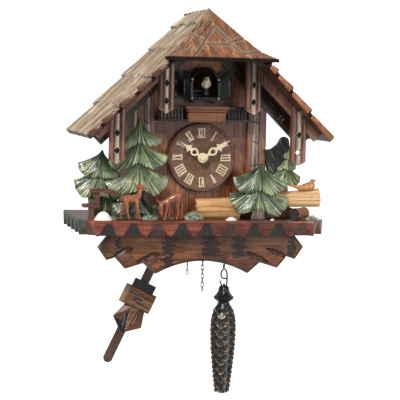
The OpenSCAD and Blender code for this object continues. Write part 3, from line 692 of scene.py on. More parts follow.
def roof_slope(side):
    """A carved roof board: uneven courses, long strips, close gouge lines and ragged steps, with a painted shadow
    under each step, painted glints at each course's lower end and grooves darkened partly as painted shade.
    """
    left = side < 0
    word = "left" if left else "right"
    strips, rows, cols, edge = 11, 240, 270, 7
    ends = np.array([0, 13.5, 37, 63.5, 89.5, EAVE_X] if left else [0, 26, 49.6, 72.3, 93, EAVE_X])
    courses = len(ends) - 1
    seed = 11 if left else 23
    r = np.random.default_rng(seed)
    xs = np.linspace(0, EAVE_X, rows)[:, None]
    depth = np.linspace(0, 1, cols)[None, :] * verge(xs)
    fan = depth / raked(xs)
    lane = fan * strips + 0.06 * wobble(xs / 24, fan * 9, seed)
    k = np.clip(np.floor(lane), 0, strips - 1).astype(int)
    w = lane - k
    width = EAVE_D / strips
    ragged = r.uniform(-1.5, 1.5, (strips, courses + 1))
    near = np.clip(np.abs(xs[:, :, None] - ends[None, None, 1:-1]).argmin(2), 0, courses - 2)
    shift = (ragged[k, near] + 0.4 * wobble(fan * 60, xs * 0, seed + 1)) * unit((EAVE_X - 4 - xs) / 6)
    c = np.clip(np.searchsorted(ends, xs + shift, side="right") - 1, 0, courses - 1)

    def draw(low, high):
        """A random number for each strip of each course."""
        return r.uniform(low, high, (strips, courses))[k, c]

    run = (ends[c + 1] - ends[c]) * ROOT2
    outer = unit(np.abs(lane - strips / 2) / (strips / 2))
    f = unit((xs + shift - ends[c]) * ROOT2 / run)
    rise = np.where(c == 1, 1.0, 0.35 + 0.65 * unit((outer - 0.55) * 4)) if left else 1.0
    cut = gouge(np.minimum(w, 1 - w) * width, 0.85)
    n = -2.3 * rise * (1 - f) ** 0.9 - 1.9 * cut + 0.3 * (1 - (2 * w - 1) ** 2) - 0.3
    fine = np.zeros_like(n)
    for _ in range(3 if left else 6):
        at, lean, deep = draw(0.1, 0.9), draw(-0.1, 0.1), draw(0.35, 1.0)
        fine = np.maximum(fine, gouge((w - at - lean * f) * width, 1.0 if left else 0.5) * deep)
    n = np.minimum(n - (1.1 if left else 0.8) * fine + 0.2 * wobble(fan * 120, xs / 9, seed + 2), 0)
    # lip lays painted glints on each course's lower end; foot lays a painted shadow on each course's upper end,
    # under the step.
    lip = np.exp(-(1 - f) * run / (3.0 if left else 1.2))
    foot = np.exp(-f * run / 0.9) * (c > 0) * np.where((c == 1) | (side > 0), 1.0, 0.25)
    shade = draw(-0.35, 0.35) + 0.4 * wobble(fan * 40, xs / 24, seed + 3)
    # The grooves are darkened both as real dark lines and as painted shade in them.
    cuts = unit(cut + fine * 0.95 + foot * 0.55)
    glint = lip * (draw(0, 1) + 0.5 * left * (outer - 0.6) > 0.72) * (1 - cut)
    top = grid(np.maximum(xs + n / ROOT2, 0), depth, RIDGE_Z - xs + n / ROOT2)
    top[0, :, 0] = 0
    tone = grid(shade, cuts, glint)

    # The eave's end: the cuts run out over it as notches and dark stripes, and the rest of it is lightened as
    # grey-green painted reflection.
    bite = 1.6 * cut[-1] + 0.9 * fine[-1]
    stripe = unit(cut[-1] * 1.3 + fine[-1] * 1.6)
    end_rows = []
    for step in range(1, edge + 1):
        low = -(ROOF_T - 0.4) * step / edge + 0.35 * math.sin(step * 2.2)
        end_rows.append(grid(EAVE_X + (low - bite) / ROOT2, depth[-1],
                             RIDGE_Z - EAVE_X + (low + bite) / ROOT2))
    end_tone = grid(-0.1, stripe, np.clip(0.85 - stripe * 2, 0, 0.8))
    top = np.concatenate([top, np.array(end_rows)])
    tone = np.concatenate([tone, np.array([end_tone] * edge)])
    top[:, :, 0] *= side

    def under(ring):
        s = np.clip((np.abs(ring[:, 0]) - ring[:, 2] + RIDGE_Z) / 2, 0, EAVE_X)
        x = np.maximum(s - ROOF_T / ROOT2, 0)
        return grid(side * x, ring[:, 1], UNDER - x)

    # The board's edges take the near-black wood of painted shade.
    slab("roof_board_" + word, top, under, "roof_l" if left else "roof_r", tone, "shadow", "soffit",
         stands="roof_" + word, slot="roof_wood", angle=50)

    stops = [(51, 62), (64.5, 74.5), (77.5, 89.5), (93, 104), (106, 115.5)]
    if not left:
        stops = [(50, 55.5), (58.5, 71), (73.5, 91), (94.5, 116)]
    blocks = []
    for x0, x1 in stops:
        points = [(side * (x + off / ROOT2), d, RIDGE_Z - x + off / ROOT2)
                  for x, lift, drop in ((x0, -2.2, -6.6), (x1, 0.0, -6.4))
                  for off in (lift, drop) for d in (verge(x) + 1.1, verge(x) - 4)]
        faces = [(0, 1, 3, 2), (4, 6, 7, 5), (0, 4, 5, 1), (2, 3, 7, 6), (0, 2, 6, 4), (1, 5, 7, 3)]
        blocks.append((points, faces))
    # The left blocks take the darker inset wood as painted shade; the right ones take the verge wood.
    piece("verge_blocks_" + word, blocks, "inset" if left else "verge", 1.6 if left else 0.9,
          slot="roof_wood")


def hip():
    """The half-hip: a sprung board with an inner gable, strokes along its left mitre, and dashes; a grey-green
    band along the left mitre is painted reflection.
    """
    rows, cols = 140, 230
    low_t, spring_t = HIP_X + 0.6, 35
    t = np.linspace(0.02, low_t, rows)[:, None]
    u = np.linspace(-1, 1, cols)[None, :]
    spring = unit((t - spring_t) / (low_t - spring_t)) ** 1.7
    x = u * (t + np.where(u > 0, 4.0, 0.4) * spring)
    cut, pale = np.zeros((2, rows, cols))
    for a, b in (((1.2, 16.5), (-26.6, 50.5)), ((1.2, 16.5), (28.3, 50.5)), ((-9, 33.5), (12.5, 33.5)),
                 ((-24, 23.5), (-11.4, 29.6)), ((13, 31), (28, 27.4)), ((-38, 38), (-21, 42)),
                 ((23, 43), (41, 40))):
        d = to_segment(x, t, a, b)
        cut = np.maximum(cut, gouge(d, 0.8))
        pale = np.maximum(pale, gouge(d, 2.0))
    r = np.random.default_rng(5)
    edge = (t - np.abs(x)) / ROOT2
    for inside in (1.9, 4.2, 6.4, 8.8):
        for _ in range(5):
            start, size = r.uniform(6, 44), r.uniform(4, 11)
            gate = unit((size / 2 - np.abs(t - start)) / 1.5) * (x < 0)
            cut = np.maximum(cut, gouge(edge - inside - r.uniform(-0.5, 0.5), 0.4) * gate * 0.85)
    for _ in range(120):
        dt = r.uniform(14, 46)
        dx = r.uniform(-0.78, 0.95) * dt
        lean = np.clip(dx / 46, -0.6, 0.6) + r.uniform(-0.1, 0.1)
        size = r.uniform(1.2, 3.8)
        d = to_segment(x, t, (dx - lean * size, dt - size), (dx + lean * size, dt + size))
        cut = np.maximum(cut, gouge(d, 0.3) * r.uniform(0.4, 0.9))
    n = np.minimum(-0.95 * cut - 0.5 * unit(1 - edge / 0.6) + 0.14 * wobble(x / 2, t / 9, 8), 0) / ROOT2
    low = unit((t - low_t + 2.0) / 1.6)
    plank = np.sign(np.sin(x * 0.5 + 0.6)) * 0.28 * (edge > 7)
    inner = unit(((t - 18) * 0.8 - np.abs(x - 1)) / 2)
    # glaze is a band of painted reflection along the left mitre; pale is a painted highlight beside the gable's
    # lines; the mitre's own edge gets a faint painted highlight.
    glaze = unit(1 - (edge - 5.5) / 3.5) * (x < 0) * (0.38 + 0.3 * wobble(edge * 1.6, t / 14, 12))
    light = np.maximum(glaze, pale * 0.8) * (1 - cut) + unit(1 - edge / 1.2) * 0.15
    tone = grid(0.45 * wobble(x / 4, t / 26, 3) + plank + 0.15 * inner, unit(cut * 0.8 + low * 0.75),
                unit(light * (1 - low)))
    top = grid(x, RIDGE_D + t + n, RIDGE_Z - t + 4.2 * spring + n)

    def under(ring):
        t0 = np.clip(ring[:, 1] - RIDGE_D, 0, low_t)
        s = unit((t0 - spring_t) / (low_t - spring_t)) ** 1.7
        thick = ROOF_T * ROOT2 * np.clip(t0 / 9, 0.02, 1) * (1 - 0.64 * unit((t0 - 32) / 16))
        return grid(ring[:, 0], ring[:, 1], RIDGE_Z - t0 + 4.2 * s - thick)

    obj = slab("hip_front", top, under, "hip", tone, "shadow", "soffit", stands="hip_board", slot="hip_wood",
               angle=50)
    through_bmesh(obj.data,
                  lambda bm: bmesh.ops.triangulate(bm, faces=[f for f in bm.faces if len(f.verts) > 4]))


# ---- boards and posts -------------------------------------------------------


def hanging_post(name, x0, tip, diamonds, side, stands):
    """A post with a glossy reeded front, a pointed foot and pierced diamonds, of which one is open; dark plates
    behind the others paint the shade inside them, and a light stripe down the bead is a painted highlight.
    """
    open_at, half, front = 7.2, 6.7, 120.5
    u = np.linspace(-half, half, 29)[None, :]
    t = np.linspace(0, 1, 60)[:, None]
    low_z = tip + np.abs(u) * 3.6 / half
    z = low_z + (UNDER - x0 - u - low_z) * t
    bead = np.sqrt(unit(1 - (u / 2.7) ** 2))
    edge = np.clip(np.abs(u) - (half - 1.1), 0, 9)
    groove = gouge(np.abs(u) - 3.2, 0.35)
    n = np.where(np.abs(u) < 2.7, -2.3 + 2.3 * bead, -0.3) - 0.9 * groove - 0.5 * edge
    taper = unit((z - low_z) / 5)
    n = n * (0.25 + 0.75 * taper) - 0.6 * (1 - taper)
    # The light stripe down the bead's middle is a painted highlight.
    tone = grid(0.25 * wobble(u / 2, z / 40, 31), groove * 0.9, np.where(np.abs(u) < 1.0, 0.45, 0.0))
    obj = slab(name, grid(side * (x0 + u), front + n, z), front - 8, "post", tone, stands=stands,
               slot="post_wood")
    x = side * x0
    carve(obj, *(prism(diamond(x, z, 3.3, 3.5), front - 9, front + 2) for z in diamonds))
    # Dark plates behind the diamonds: painted shade inside the holes.
    plates = [prism(diamond(x, z, 3.2, 3.4), front - 7.9,
                    front - 6.4) for z in diamonds if side < 0 or z != open_at]
    piece(name + "_dark", plates, "rail", slot="post_wood")
    obj.data.materials.append(M["bead"])
    for face in obj.data.polygons:
        c = face.center * 1e3
        if abs(abs(c.x) - x0) < 2.6 and face.normal.y < -0.35 and -c.y > front - 3.2:
            face.material_index = len(obj.data.materials) - 1


def log_strip(side):
    """The bark-textured strip of a corner post, with knots and notches."""
    middle = 52.4
    u = np.linspace(0, 1, 17)[None, :]
    x = middle + 6.0 * (u - 0.5)
    z = SHELF_Z + (106.5 - x - SHELF_Z) * np.linspace(0, 1, 260)[:, None]
    r = np.random.default_rng(41 + side)
    cut = np.zeros_like(z)
    for zc in np.arange(-50, 48, 21):
        zc = zc + r.uniform(-2, 2)
        cut = np.maximum(cut, gouge(z - zc - 0.35 * (x - middle) * r.choice([-1, 1]), 0.55))
        knot = np.hypot((x - middle - r.uniform(-1.2, 1.2)) * 1.5, (z - zc - r.uniform(3, 5)) * 0.75)
        cut = np.maximum(cut, gouge(knot, 0.8) * 0.9)
    n = 2.6 * np.sqrt(unit(1 - (2 * u - 1) ** 2)) - 2.6 - 0.8 * cut + 0.28 * wobble(x * 1.4, z / 2.6,
        17 + side)
    tone = grid(0.5 * wobble(x, z / 5, 19 + side), cut,
                np.clip(0.3 + 1.1 * wobble(x * 2.4, z / 2, 29), 0, 0.95) * (1 - cut))
    slab("corner_log_" + ("left" if side < 0 else "right"), grid(side * x, 90 + np.minimum(n, 0), z), WALL_D,
         "bark",
         tone, stands="corner_posts" if side < 0 else (), slot="post_wood")


def front_parts():
    """The front's flat timbers: corner strips, gouge cuts, insets, a fixed dark shutter on the right and on the
    left a dark plate that is the inner post's painted shadow, and the gable's panel with two golden diamonds that
    are painted spots of light.
    """
    strips, cuts = [], []
    for side in (-1, 1):
        for x0, x1, d in ((44.5, 49.3, 88.0), (55.5, 62.5, 89.0)):
            a, b = sorted((side * x0, side * x1))
            strips.append(prism([(a, SHELF_Z), (b, SHELF_Z), (b, 106.5 - abs(b)), (a, 106.5 - abs(a))],
                                WALL_D, d))
        for run, total in ((-12, 113), (36, 113), (60, 113), (78, 112)):
            for k in range(3):
                x, z = (total + run + k * 3.0) / 2, (total - run - k * 3.0) / 2
                corners = [(-2.42, -2.4), (-1.58, -2.4), (2.42, 2.4), (1.58, 2.4)]
                cuts.append(prism([(side * (x + dx), z + dz) for dx, dz in corners], 89.8, 90.25))
    piece("corner_strips", strips, "post", 0.5, slot="post_wood")
    piece("brace_cuts", cuts, "bead", slot="dark_wood")
    insets = ((-43.6, -33.4, 22.4, 31.8), (31.6, 36.4, 19, 31.5), (41, 44.2, 19, 31.5), (-31, -28, -48, -38))
    piece("front_insets", [block(x0, x1, WALL_D, 84.9, z0, z1) for x0, x1, z0, z1 in insets], "inset", 0.3,
          slot="dark_wood")
    # The left outline is the inner post's shadow on the front, painted as a dark plate; the right one is a fixed
    # shutter.
    shutter_and_shadow_outlines = ([(-29.6, 55), (-14.6, 55), (-14.6, 79), (-22, 82.4), (-29.6, 76)],
                [(14.6, 54.4), (27.4, 54.4), (27.4, 77), (21, 81.6), (14.6, 79)])
    piece("shutter_and_post_shadow", [prism(outline, WALL_D, 85.3) for outline in shutter_and_shadow_outlines], "rail", 0.3,
          slot="dark_wood")
    # Two golden diamonds on the left plate: painted spots of light that come through the inner post's pierced
    # diamonds.
    panel = [prism(diamond(x, z, 1.9, 2.4), 84.2, 85.5) for x, z in ((-25.2, 70.6), (-25.4, 59.4))]
    panel.append(prism([(-11, 96), (15, 96), (19, 90), (14.2, 77), (9, 86), (-4, 87.4), (-11, 83)], WALL_D,
                       84.8))
    piece("gable_panel_and_light_spots", panel, "gold", 0.2, slot="house_wood")


def shelf():
    """The base board: leaning facets under a thin lip on its front and ends, a slot and chain holes. Its downward
    facets are painted near-black as shade, some warmer, and its left end and corner take the grey-green of
    painted reflection.
    """
    # Looks: red wood, near-black and warm painted shade for the downward facets, grey-green painted reflection
    # for the left end and corner, and the top and bottom faces.
    red, dark, glazed, warm, face_look = range(5)
    looks_of = ["shelf", "shelf_in_shade", "glaze", "shelf_mid", "shelf_top"]
    path = [(-SHELF_X, 0), (-SHELF_X, 100), (-103, SHELF_D), (103, SHELF_D), (SHELF_X, 100), (SHELF_X, 0)]
    cuts = [4, 1, 9, 1, 4]
    points, faces, looks = [], [], []
    tops, lips, lows = [], [], []

    def point(at, z, inward=0.0):
        points.append((at[0] - out[0] * inward, at[1] - out[1] * inward, z))
        return len(points) - 1

    def face(look, *corners):
        faces.append(corners)
        looks.append(look)

    def column(at):
        tops.append(point(at, SHELF_Z))
        lips.append(point(at, -59.3))
        lows.append(point(at, SHELF_LOW, 0.5))

    for i, (a, b) in enumerate(zip(path, path[1:])):
        a, b = np.array(a, float), np.array(b, float)
        length = np.linalg.norm(b - a)
        way = (b - a) / length
        out = np.array([-way[1], way[0]])
        step = length / cuts[i]
        right_look = glazed if i < 1 else red
        left_look, flank = (glazed, glazed) if i < 2 else (red, warm)
        if i == 0:
            column(a)
        for j in range(cuts[i]):
            cut_look = glazed if i < 1 else (warm if (i + j) % 3 == 1 else dark)
            centre = a + way * step * (j + 0.5)
            narrow, wide = way * step * 0.12, way * step * 0.44
            inset = wide - way * 2.6
            u1, u2 = point(centre - narrow, SHELF_Z), point(centre + narrow, SHELF_Z)
            l1, l2 = point(centre - narrow, -59.3), point(centre + narrow, -59.3)
            r1, r2 = point(centre - wide, SHELF_LOW, 0.5), point(centre + wide, SHELF_LOW, 0.5)
            b1, b2 = point(centre - inset, SHELF_LOW, 5.6), point(centre + inset, SHELF_LOW, 5.6)
            face(left_look, lips[-1], l1, r1, lows[-1])
            face(left_look, tops[-1], u1, l1, lips[-1])
            face(flank, l1, b1, r1)
            face(cut_look, l1, l2, b2, b1)
            face(right_look, l2, r2, b2)
            face(right_look, u1, u2, l2, l1)
            tops += [u1, u2]
            lips += [l1, l2]
            lows += [r1, b1, b2, r2]
        column(b)
        face(right_look, lips[-2], lips[-1], lows[-1], lows[-2])
        face(right_look, tops[-2], tops[-1], lips[-1], lips[-2])
    face(red, tops[-1], tops[0], lips[0], lips[-1])
    face(red, lips[-1], lips[0], lows[0], lows[-1])
    face(face_look, *tops)
    face(face_look, *lows)
    obj = build("base_shelf", points, faces, looks_of, stands="shelf", slot="shelf_wood", looks=looks,
                angle=12)
    bevel(obj, 0.4, 2, 14)
    slot = [(-27, 45), (27, 45), (27, 55), (-27, 55)]
    holes = [[(x + 3 * math.cos(a), 74 + 3 * math.sin(a)) for a in around(24)] for x in (CONE_X, 7.0, -8.0)]
    carve(obj,
          *(shell([(x, d, z) for z in (SHELF_LOW - 1, SHELF_Z + 1) for x,
                   d in hole]) for hole in [slot] + holes))
    obj.data.set_sharp_from_angle(angle=math.radians(25))


def skirt():
    """The carved apron: eased edges, burnt spiky columns and deep gouges behind its stepped ends, with a painted
    shadow under the shelf, grey-green painted reflection on the chamfers that face left and painted shade on the
    others.
    """
    half = [(98.5, -83.2), (90.5, -95), (82.5, -92.5), (73, -103.2), (56, -98), (44.5, -108)]
    for t in np.linspace(0, 1, 16)[:-1]:
        half.append(((1 - t) ** 2 * 43 + 2 * t * (1 - t) * 22,
                     (1 - t) ** 2 * -107.6 + 2 * t * (1 - t) * -96.4 + t * t * -96.2))
    low_line = [(-x, z) for x, z in half] + half[::-1]
    low_x, low_z = np.array(low_line).T
    x1 = np.unique(np.concatenate([np.linspace(-98.5, 98.5, 560), low_x, [-89, 89]]))
    z_low = np.interp(x1, low_x, low_z)
    z_top = np.interp(np.abs(x1), [0, 89, 98.5], [SHELF_LOW, SHELF_LOW, -83.18])
    v = np.linspace(0, 1, 110)[:, None]
    z = z_low + (z_top - z_low) * v
    x = np.broadcast_to(x1, z.shape)
    outline = low_line + [(89, SHELF_LOW), (-89, SHELF_LOW)]
    to_edge, left_edge = np.full((2, *x.shape), 99.0)
    for a, b in zip(outline, outline[1:] + outline[:1]):
        if a[1] == SHELF_LOW and b[1] == SHELF_LOW:
            continue
        d = to_segment(x, z, a, b)
        to_edge = np.minimum(to_edge, d)
        if (b[1] - a[1]) * (1 if a[0] < b[0] else -1) < 0 or a == (-89, SHELF_LOW):
            left_edge = np.minimum(left_edge, d)
    chamfer, left_reflection = unit(1 - to_edge / 2.4), unit(1 - left_edge / 2.4)
    burnt, deep, dashes = np.zeros((3, *x.shape))
    r = np.random.default_rng(37)
    for centre, reach, low in ((-80, 4.6, -84), (-33, 7.4, -105), (7.7, 10.5, -91), (34.6, 7.4, -92),
                               (86.3, 4.4, -91)):
        for _ in range(2):
            at, way = (centre + r.uniform(-1, 1), -71.5), r.choice([-1, 1])
            while at[1] > low:
                to = (centre + way * reach * r.uniform(0.25, 1.0), at[1] - r.uniform(0.4, 3.4))
                thick = r.uniform(0.7, 1.5)
                burnt = np.maximum(burnt, unit((thick - to_segment(x, z, at, to)) / 0.5))
                at, way = to, -way
    for (ax, az), (bx, bz) in (((-86, -92.5), (-70, -83.8)), ((-63, -96.5), (-43, -89.6)),
                               ((42, -88), (64.5, -97.5)),
                               ((61, -84), (84, -93.5)), ((-77, -84.5), (-66, -85.5)),
                               ((-52, -90), (-40, -90.5))):
        length = math.hypot(bx - ax, bz - az)
        along = ((x - ax) * (bx - ax) + (z - az) * (bz - az)) / length
        off = ((x - ax) * (bz - az) - (z - az) * (bx - ax)) / length
        reach = np.maximum(2.7 * np.sin(np.pi * unit(along / length)) ** 0.7, 0.05)
        deep = np.maximum(deep, np.where((along > 0) & (along < length), unit(1 - np.abs(off) / reach), 0))
    for cx, cz in ((-68, -92), (-70, -95), (-66, -89), (-50, -100), (-46, -97), (-53, -95), (50, -99),
                   (54, -95),
                   (46, -95), (70, -95), (74, -90), (78, -96), (64, -90), (-20, -88), (20, -94), (-4, -94),
                   (12, -92), (-88, -84)):
        lean, size = r.uniform(-0.25, 0.5), r.uniform(1.5, 3.2)
        d = to_segment(x, z, (cx - size, cz - lean * size), (cx + size, cz + lean * size))
        dashes = np.maximum(dashes, gouge(d, 0.4))
    n = -1.9 * chamfer - 1.9 * np.sqrt(deep) - 0.35 * burnt - 0.5 * dashes + 0.1 * wobble(x / 6, z * 1.2, 38)
    # A painted shadow under the shelf; painted shade on the chamfers that do not face left, and grey-green
    # painted reflection on those that do.
    shelf_shadow = unit((z + 76) / 4.7)
    edge_shade = (chamfer > 0) * 0.45 * (1 - left_reflection)
    tone = grid(0.25 * wobble(x / 14, z / 3, 39) - 0.5 * shelf_shadow + 0.35 * unit((-z - 88) / 14),
                unit(burnt * 0.95 + np.clip(deep * 1.6, 0,
                                            0.9) + dashes * 0.8 + edge_shade + shelf_shadow * 0.3),
                np.clip(left_reflection * 1.4, 0, 0.85))
    # Its edges take the grey-green of painted reflection.
    slab("apron", grid(x, 102.0 + np.minimum(n, 0), z), 94, "skirt", tone, "glaze", "dark",
         stands="skirt_board",
         slot="skirt_wood", angle=40)


# ---- trees ------------------------------------------------------------------


def curve3(a, b, c, t):
    return (1 - t) ** 2 * a + 2 * t * (1 - t) * b + t * t * c


def tier(name, apex, left, foot_l, notch, foot_r, right, back, front, seed, dark=0.0, stands=()):
    """One drooping tier, carved with needle strokes that fan from its top to a ragged lower edge. Its top is
    painted dark as the shadow of the tier above, its grooves darkened and its lower part lightened as painted
    shade and light, some ridges streaked with painted highlights, and dark paints the whole tier into shade.
    """
    strokes, smooth = 30, 31
    r = np.random.default_rng(seed)
    u = np.linspace(0, 1, 132)[None, :]
    t = np.linspace(0, 1, 26)[:, None] ** 0.9
    dense = np.linspace(0, 1, 400)
    kernel = np.hanning(smooth) / np.hanning(smooth).sum()

    def soft(values):
        """The lower edge's corners, rounded."""
        raw = np.interp(dense, [0, 0.13, 0.3, 0.5, 0.7, 0.87, 1], values)
        padded = np.pad(raw, smooth // 2, "edge")
        return np.interp(u, dense, np.convolve(padded, kernel, "valid"))

    bx = soft([left[0], left[0] * 0.72 + foot_l[0] * 0.28 - 0.6, foot_l[0], notch[0], foot_r[0],
               right[0] * 0.72 + foot_r[0] * 0.28 + 0.6, right[0]])
    bz = soft([left[1], (left[1] + foot_l[1]) / 2 - 0.8, foot_l[1], notch[1], foot_r[1],
               (right[1] + foot_r[1]) / 2 - 0.8, right[1]])
    phase = u * strokes + 0.35 * np.sin(u * 17 + seed)
    lane = np.floor(phase).astype(int)
    vee = np.abs(2 * (phase - lane) - 1)
    tooth = r.uniform(0.3, 1.0, strokes + 4)[lane]
    bz = bz + vee ** 1.5 * 1.1 * tooth - 0.3
    ctrl_x = np.interp(u, [0, 0.5, 1], [apex[0] - 3, (apex[0] + notch[0]) / 2, apex[0] + 3])
    ctrl_z = np.interp(u, [0, 0.5, 1], [left[1] + 5, (apex[1] + notch[1]) / 2, right[1] + 5])
    spread = (u - 0.5) * 1.6
    x = curve3(apex[0] + spread, ctrl_x, bx, t)
    z = curve3(apex[1] - 0.4 * np.abs(spread), ctrl_z, bz, t)
    bulge = 1 - (2 * u - 1) ** 2
    d = back + (front - back) * (0.28 + 0.42 * t + 0.3 * bulge * (0.4 + 0.6 * t))
    d = d - 0.75 * np.clip(t * 1.6, 0.12, 1) * vee ** 2 * (0.6 + 0.4 * tooth) + 0.35 * wobble(u * 14, t * 6,
        seed)
    d = np.clip(d - unit((t - 0.9) / 0.1) ** 2, back + 0.3, front)
    d = np.maximum(d - 1.6 * np.exp(-np.minimum(u, 1 - u) / 0.03), back + 0.2)
    # Random tone for each stroke, lighter towards the lower edge as painted light, darker by dark as painted
    # shade.
    shade = r.uniform(-1, 1, strokes + 4)[lane] * 0.9 + 0.6 * (t - 0.45) - dark
    # Painted shade in the grooves, under the tier above and over a tier in shade.
    cuts = unit(vee ** 4 * (0.45 + 0.5 * t) + 0.75 * np.exp(-t / 0.08) + dark * 0.5)
    # Painted highlight streaks on some ridges, fewer on a tier in shade.
    streak = r.uniform(0, 1, strokes + 4)[lane] > 0.62
    mark = unit(streak * (1 - vee) ** 2 * unit((t - 0.3) * 1.6)) * (1 - dark)
    slab(name, grid(x, d, z), back, "tree", grid(shade, cuts, mark), stands=stands, slot="tree_paint",
         angle=60)


def board(name, outline, low, high, look="tree", ease=0.6):
    piece(name, [prism(outline, low, high)], look, ease, slot="tree_paint")


def trees():
    """Four spruces, each a few tiers from the lowest up, and the flat boards that they stand on."""
    tier("tree_lf_3", (-62.5, 6), (-94, -22), (-78, -34), (-58, -30), (-46, -35.5), (-33.5, -17),
         100, 105.0, 3, 0.05, "tree_left_front")
    tier("tree_lf_2", (-62.5, 24), (-91, -1), (-83, -12.5), (-63.5, -5), (-48.5, -11), (-34, 3.5), 101, 106.0, 4)
    tier("tree_lf_1", (-62.5, 38.5), (-84, 15), (-76, 7.5), (-63, 12.6), (-49, 10.5), (-40.8, 18.6),
         102, 106.0, 5)
    tier("tree_lf_4", (-64, -24), (-86, -42), (-84, -55), (-64, -52), (-46, -55), (-42, -46), 99, 103.6, 6, 0.75)
    board("tree_lf_foot", [(-86, -44), (-44, -44), (-42, SHELF_Z), (-87, SHELF_Z)], 99, 101)
    tier("tree_lr_2", (-96, -4), (-121, -20.5), (-113, -38), (-98, -36), (-80, -39.5), (-74, -24),
         92, 97.0, 7, 0.05, "tree_left_rear")
    tier("tree_lr_1", (-95, 6.5), (-118, -5), (-110, -18.5), (-96, -19.5), (-80, -20.5), (-78, -8), 93, 98.0, 8)
    board("tree_lr_foot", [(-108, -36), (-80, -36), (-79, SHELF_Z), (-102, SHELF_Z), (-103, -46), (-107, -45)],
          92, 94)
    tier("tree_lr_3", (-92, -30), (-106, -41), (-100, -55), (-90, -50), (-83, -55.5), (-76, -43),
         93, 97.6, 15, 0.5)
    tier("tree_rf_2", (53, -20), (24, -31.7), (34.7, -51.6), (52, -47.8), (71.5, -54.4), (82, -36.5),
         102, 107.0, 9, 0.16, "tree_right_front")
    tier("tree_rf_1", (54.5, -4), (27, -16.3), (35, -32.4), (54, -30), (65, -35), (82, -20), 103, 108.0, 10, 0.16)
    board("tree_rf_foot", [(47, -45), (57, -45), (59, SHELF_Z), (45, SHELF_Z)], 102, 105.5, "bark")
    tier("tree_rr_3", (84, -6), (63.5, -13), (68, -27), (80, -24), (91, -27), (97, -16.4),
         90, 93.8, 12, 0.1, "tree_right_rear")
    tier("tree_rr_2", (84.5, 6), (72.4, -6), (73.4, -12.6), (79, -9.6), (87, -12.2), (92.2, -6), 90.4, 94.4, 13)
    tier("tree_rr_1", (84, 13), (79, 4), (79.5, 0.4), (82.6, -1.2), (86, -0.8), (87.6, 5), 90.8, 94.8, 14)
    # A near-black board where the rear tree lies in shade: painted shade.
    board("tree_rr_shade", [(78.8, 20.8), (76, 19.8), (72.4, 13.6), (66.6, 9.2), (59.6, 8.0), (61.2, 4),
                            (61.8, -6), (63.4, -12.4), (69, -13.6), (73.4, -8), (77, -6), (80, 0), (84, 8),
                            (84.6, 14), (83.6, 18.6), (81.4, 20.6)], 89.2, 93.6, "night", 0.7)
    board("tree_rr_foot", [(72, -24), (84, -24), (86, -46), (95, -49), (97, SHELF_Z), (60.5, SHELF_Z),
                           (62.5, -47), (72, -44)], 89.4, 92.0, "log_bark")


# ---- animals and scenery ----------------------------------------------------


def coat_tone(x, d, z):
    """Dark hooves and pale flecks."""
    light = unit(np.sin(x * 2.2 + 1.3) * np.sin(z * 1.7) - 0.75) * 3
    return grid(0, unit(-55.4 - z), unit(light))


def deer():
    chains = [
        [(-76, 0, -37.0, 3.6), (-71, 0, -37.2, 3.6), (-66.2, 0, -36.4, 3.9), (-64.0, 0, -34.6, 3.1)],
        [(-63.8, 0, -34.4, 2.7), (-62.6, 0, -30.4, 2.1), (-62.6, 0, -27.4, 2.0)],
        [(-64.6, 0, -25.6, 2.5), (-61.6, 0, -26.0, 2.2), (-58.2, 0, -27.0, 1.3)],
        [(-76.2, -1.6, -37.6, 2.7), (-77.2, -1.9, -43.6, 1.7), (-79.4, -1.9, -48, 1.2),
         (-79.6, -1.9, -56, 1.15)],
        [(-75.4, 1.6, -38.4, 2.6), (-74.6, 1.9, -45.6, 1.6), (-74.6, 1.9, -49, 1.2),
         (-72.6, 1.9, -56, 1.15)],
        [(-79.2, 0, -36.2, 1.1), (-80.6, 0, -38.8, 0.7)],
    ]
    for s in (-1, 1):
        chains.append([(-65.6, s * 1.4, -24.8, 1.1), (-69.2, s * 2.4, -22.8, 0.55)])
        chains.append([(-65.7, s * 1.8, -38, 2.0), (-65.0, s * 2.0, -46.5, 1.35),
                       (-63.8 + s * 0.9, s * 2.0, -56, 1.15)])
    sculpt("fawn_standing", limbs(113, *chains), "deer", 0.42, coat_tone, stands="deer_standing",
           slot="deer_paint")

    chains = [
        [(-26.8, 0, -34.8, 4.2), (-29.6, 0, -36.2, 4.3), (-33.8, 0, -38.0, 3.8), (-37.0, 0, -39.8, 3.0)],
        [(-37.4, 0, -40, 2.9), (-40.4, 0, -40.8, 2.5), (-42.2, 0, -41.6, 2.5)],
        [(-42.4, 0.4, -42, 2.7), (-42.8, 0.8, -46.4, 2.3), (-42.0, 1.0, -51.6, 1.5)],
        [(-35.4, -1.8, -40.6, 2.1), (-34.2, -2.0, -48, 1.35), (-35.8, -2.0, -56, 1.15)],
        [(-36.6, 1.8, -40.6, 2.0), (-37.6, 2.0, -48, 1.3), (-39.6, 2.0, -56, 1.15)],
        [(-25.4, -1.8, -36.6, 2.8), (-22.9, -2.0, -43.6, 1.6), (-22.4, -2.0, -49, 1.15),
         (-23.4, -2.0, -56, 1.15)],
        [(-27.6, 1.8, -38, 2.7), (-27.2, 2.0, -44, 1.6), (-26.6, 2.0, -49, 1.15), (-28.0, 2.0, -56, 1.15)],
        [(-23.6, 0, -33.2, 1.1), (-22.3, 0, -36.0, 0.7)],
    ]
    chains += [[(-42.6 + s * 1.6, -0.4, -40.4, 1.0), (-42.4 + s * 4.0, -0.8, -37.8, 0.5)] for s in (-1, 1)]
    sculpt("fawn_grazing", limbs(112, *chains), "deer", 0.42, coat_tone, stands="deer_grazing",
           slot="deer_paint")


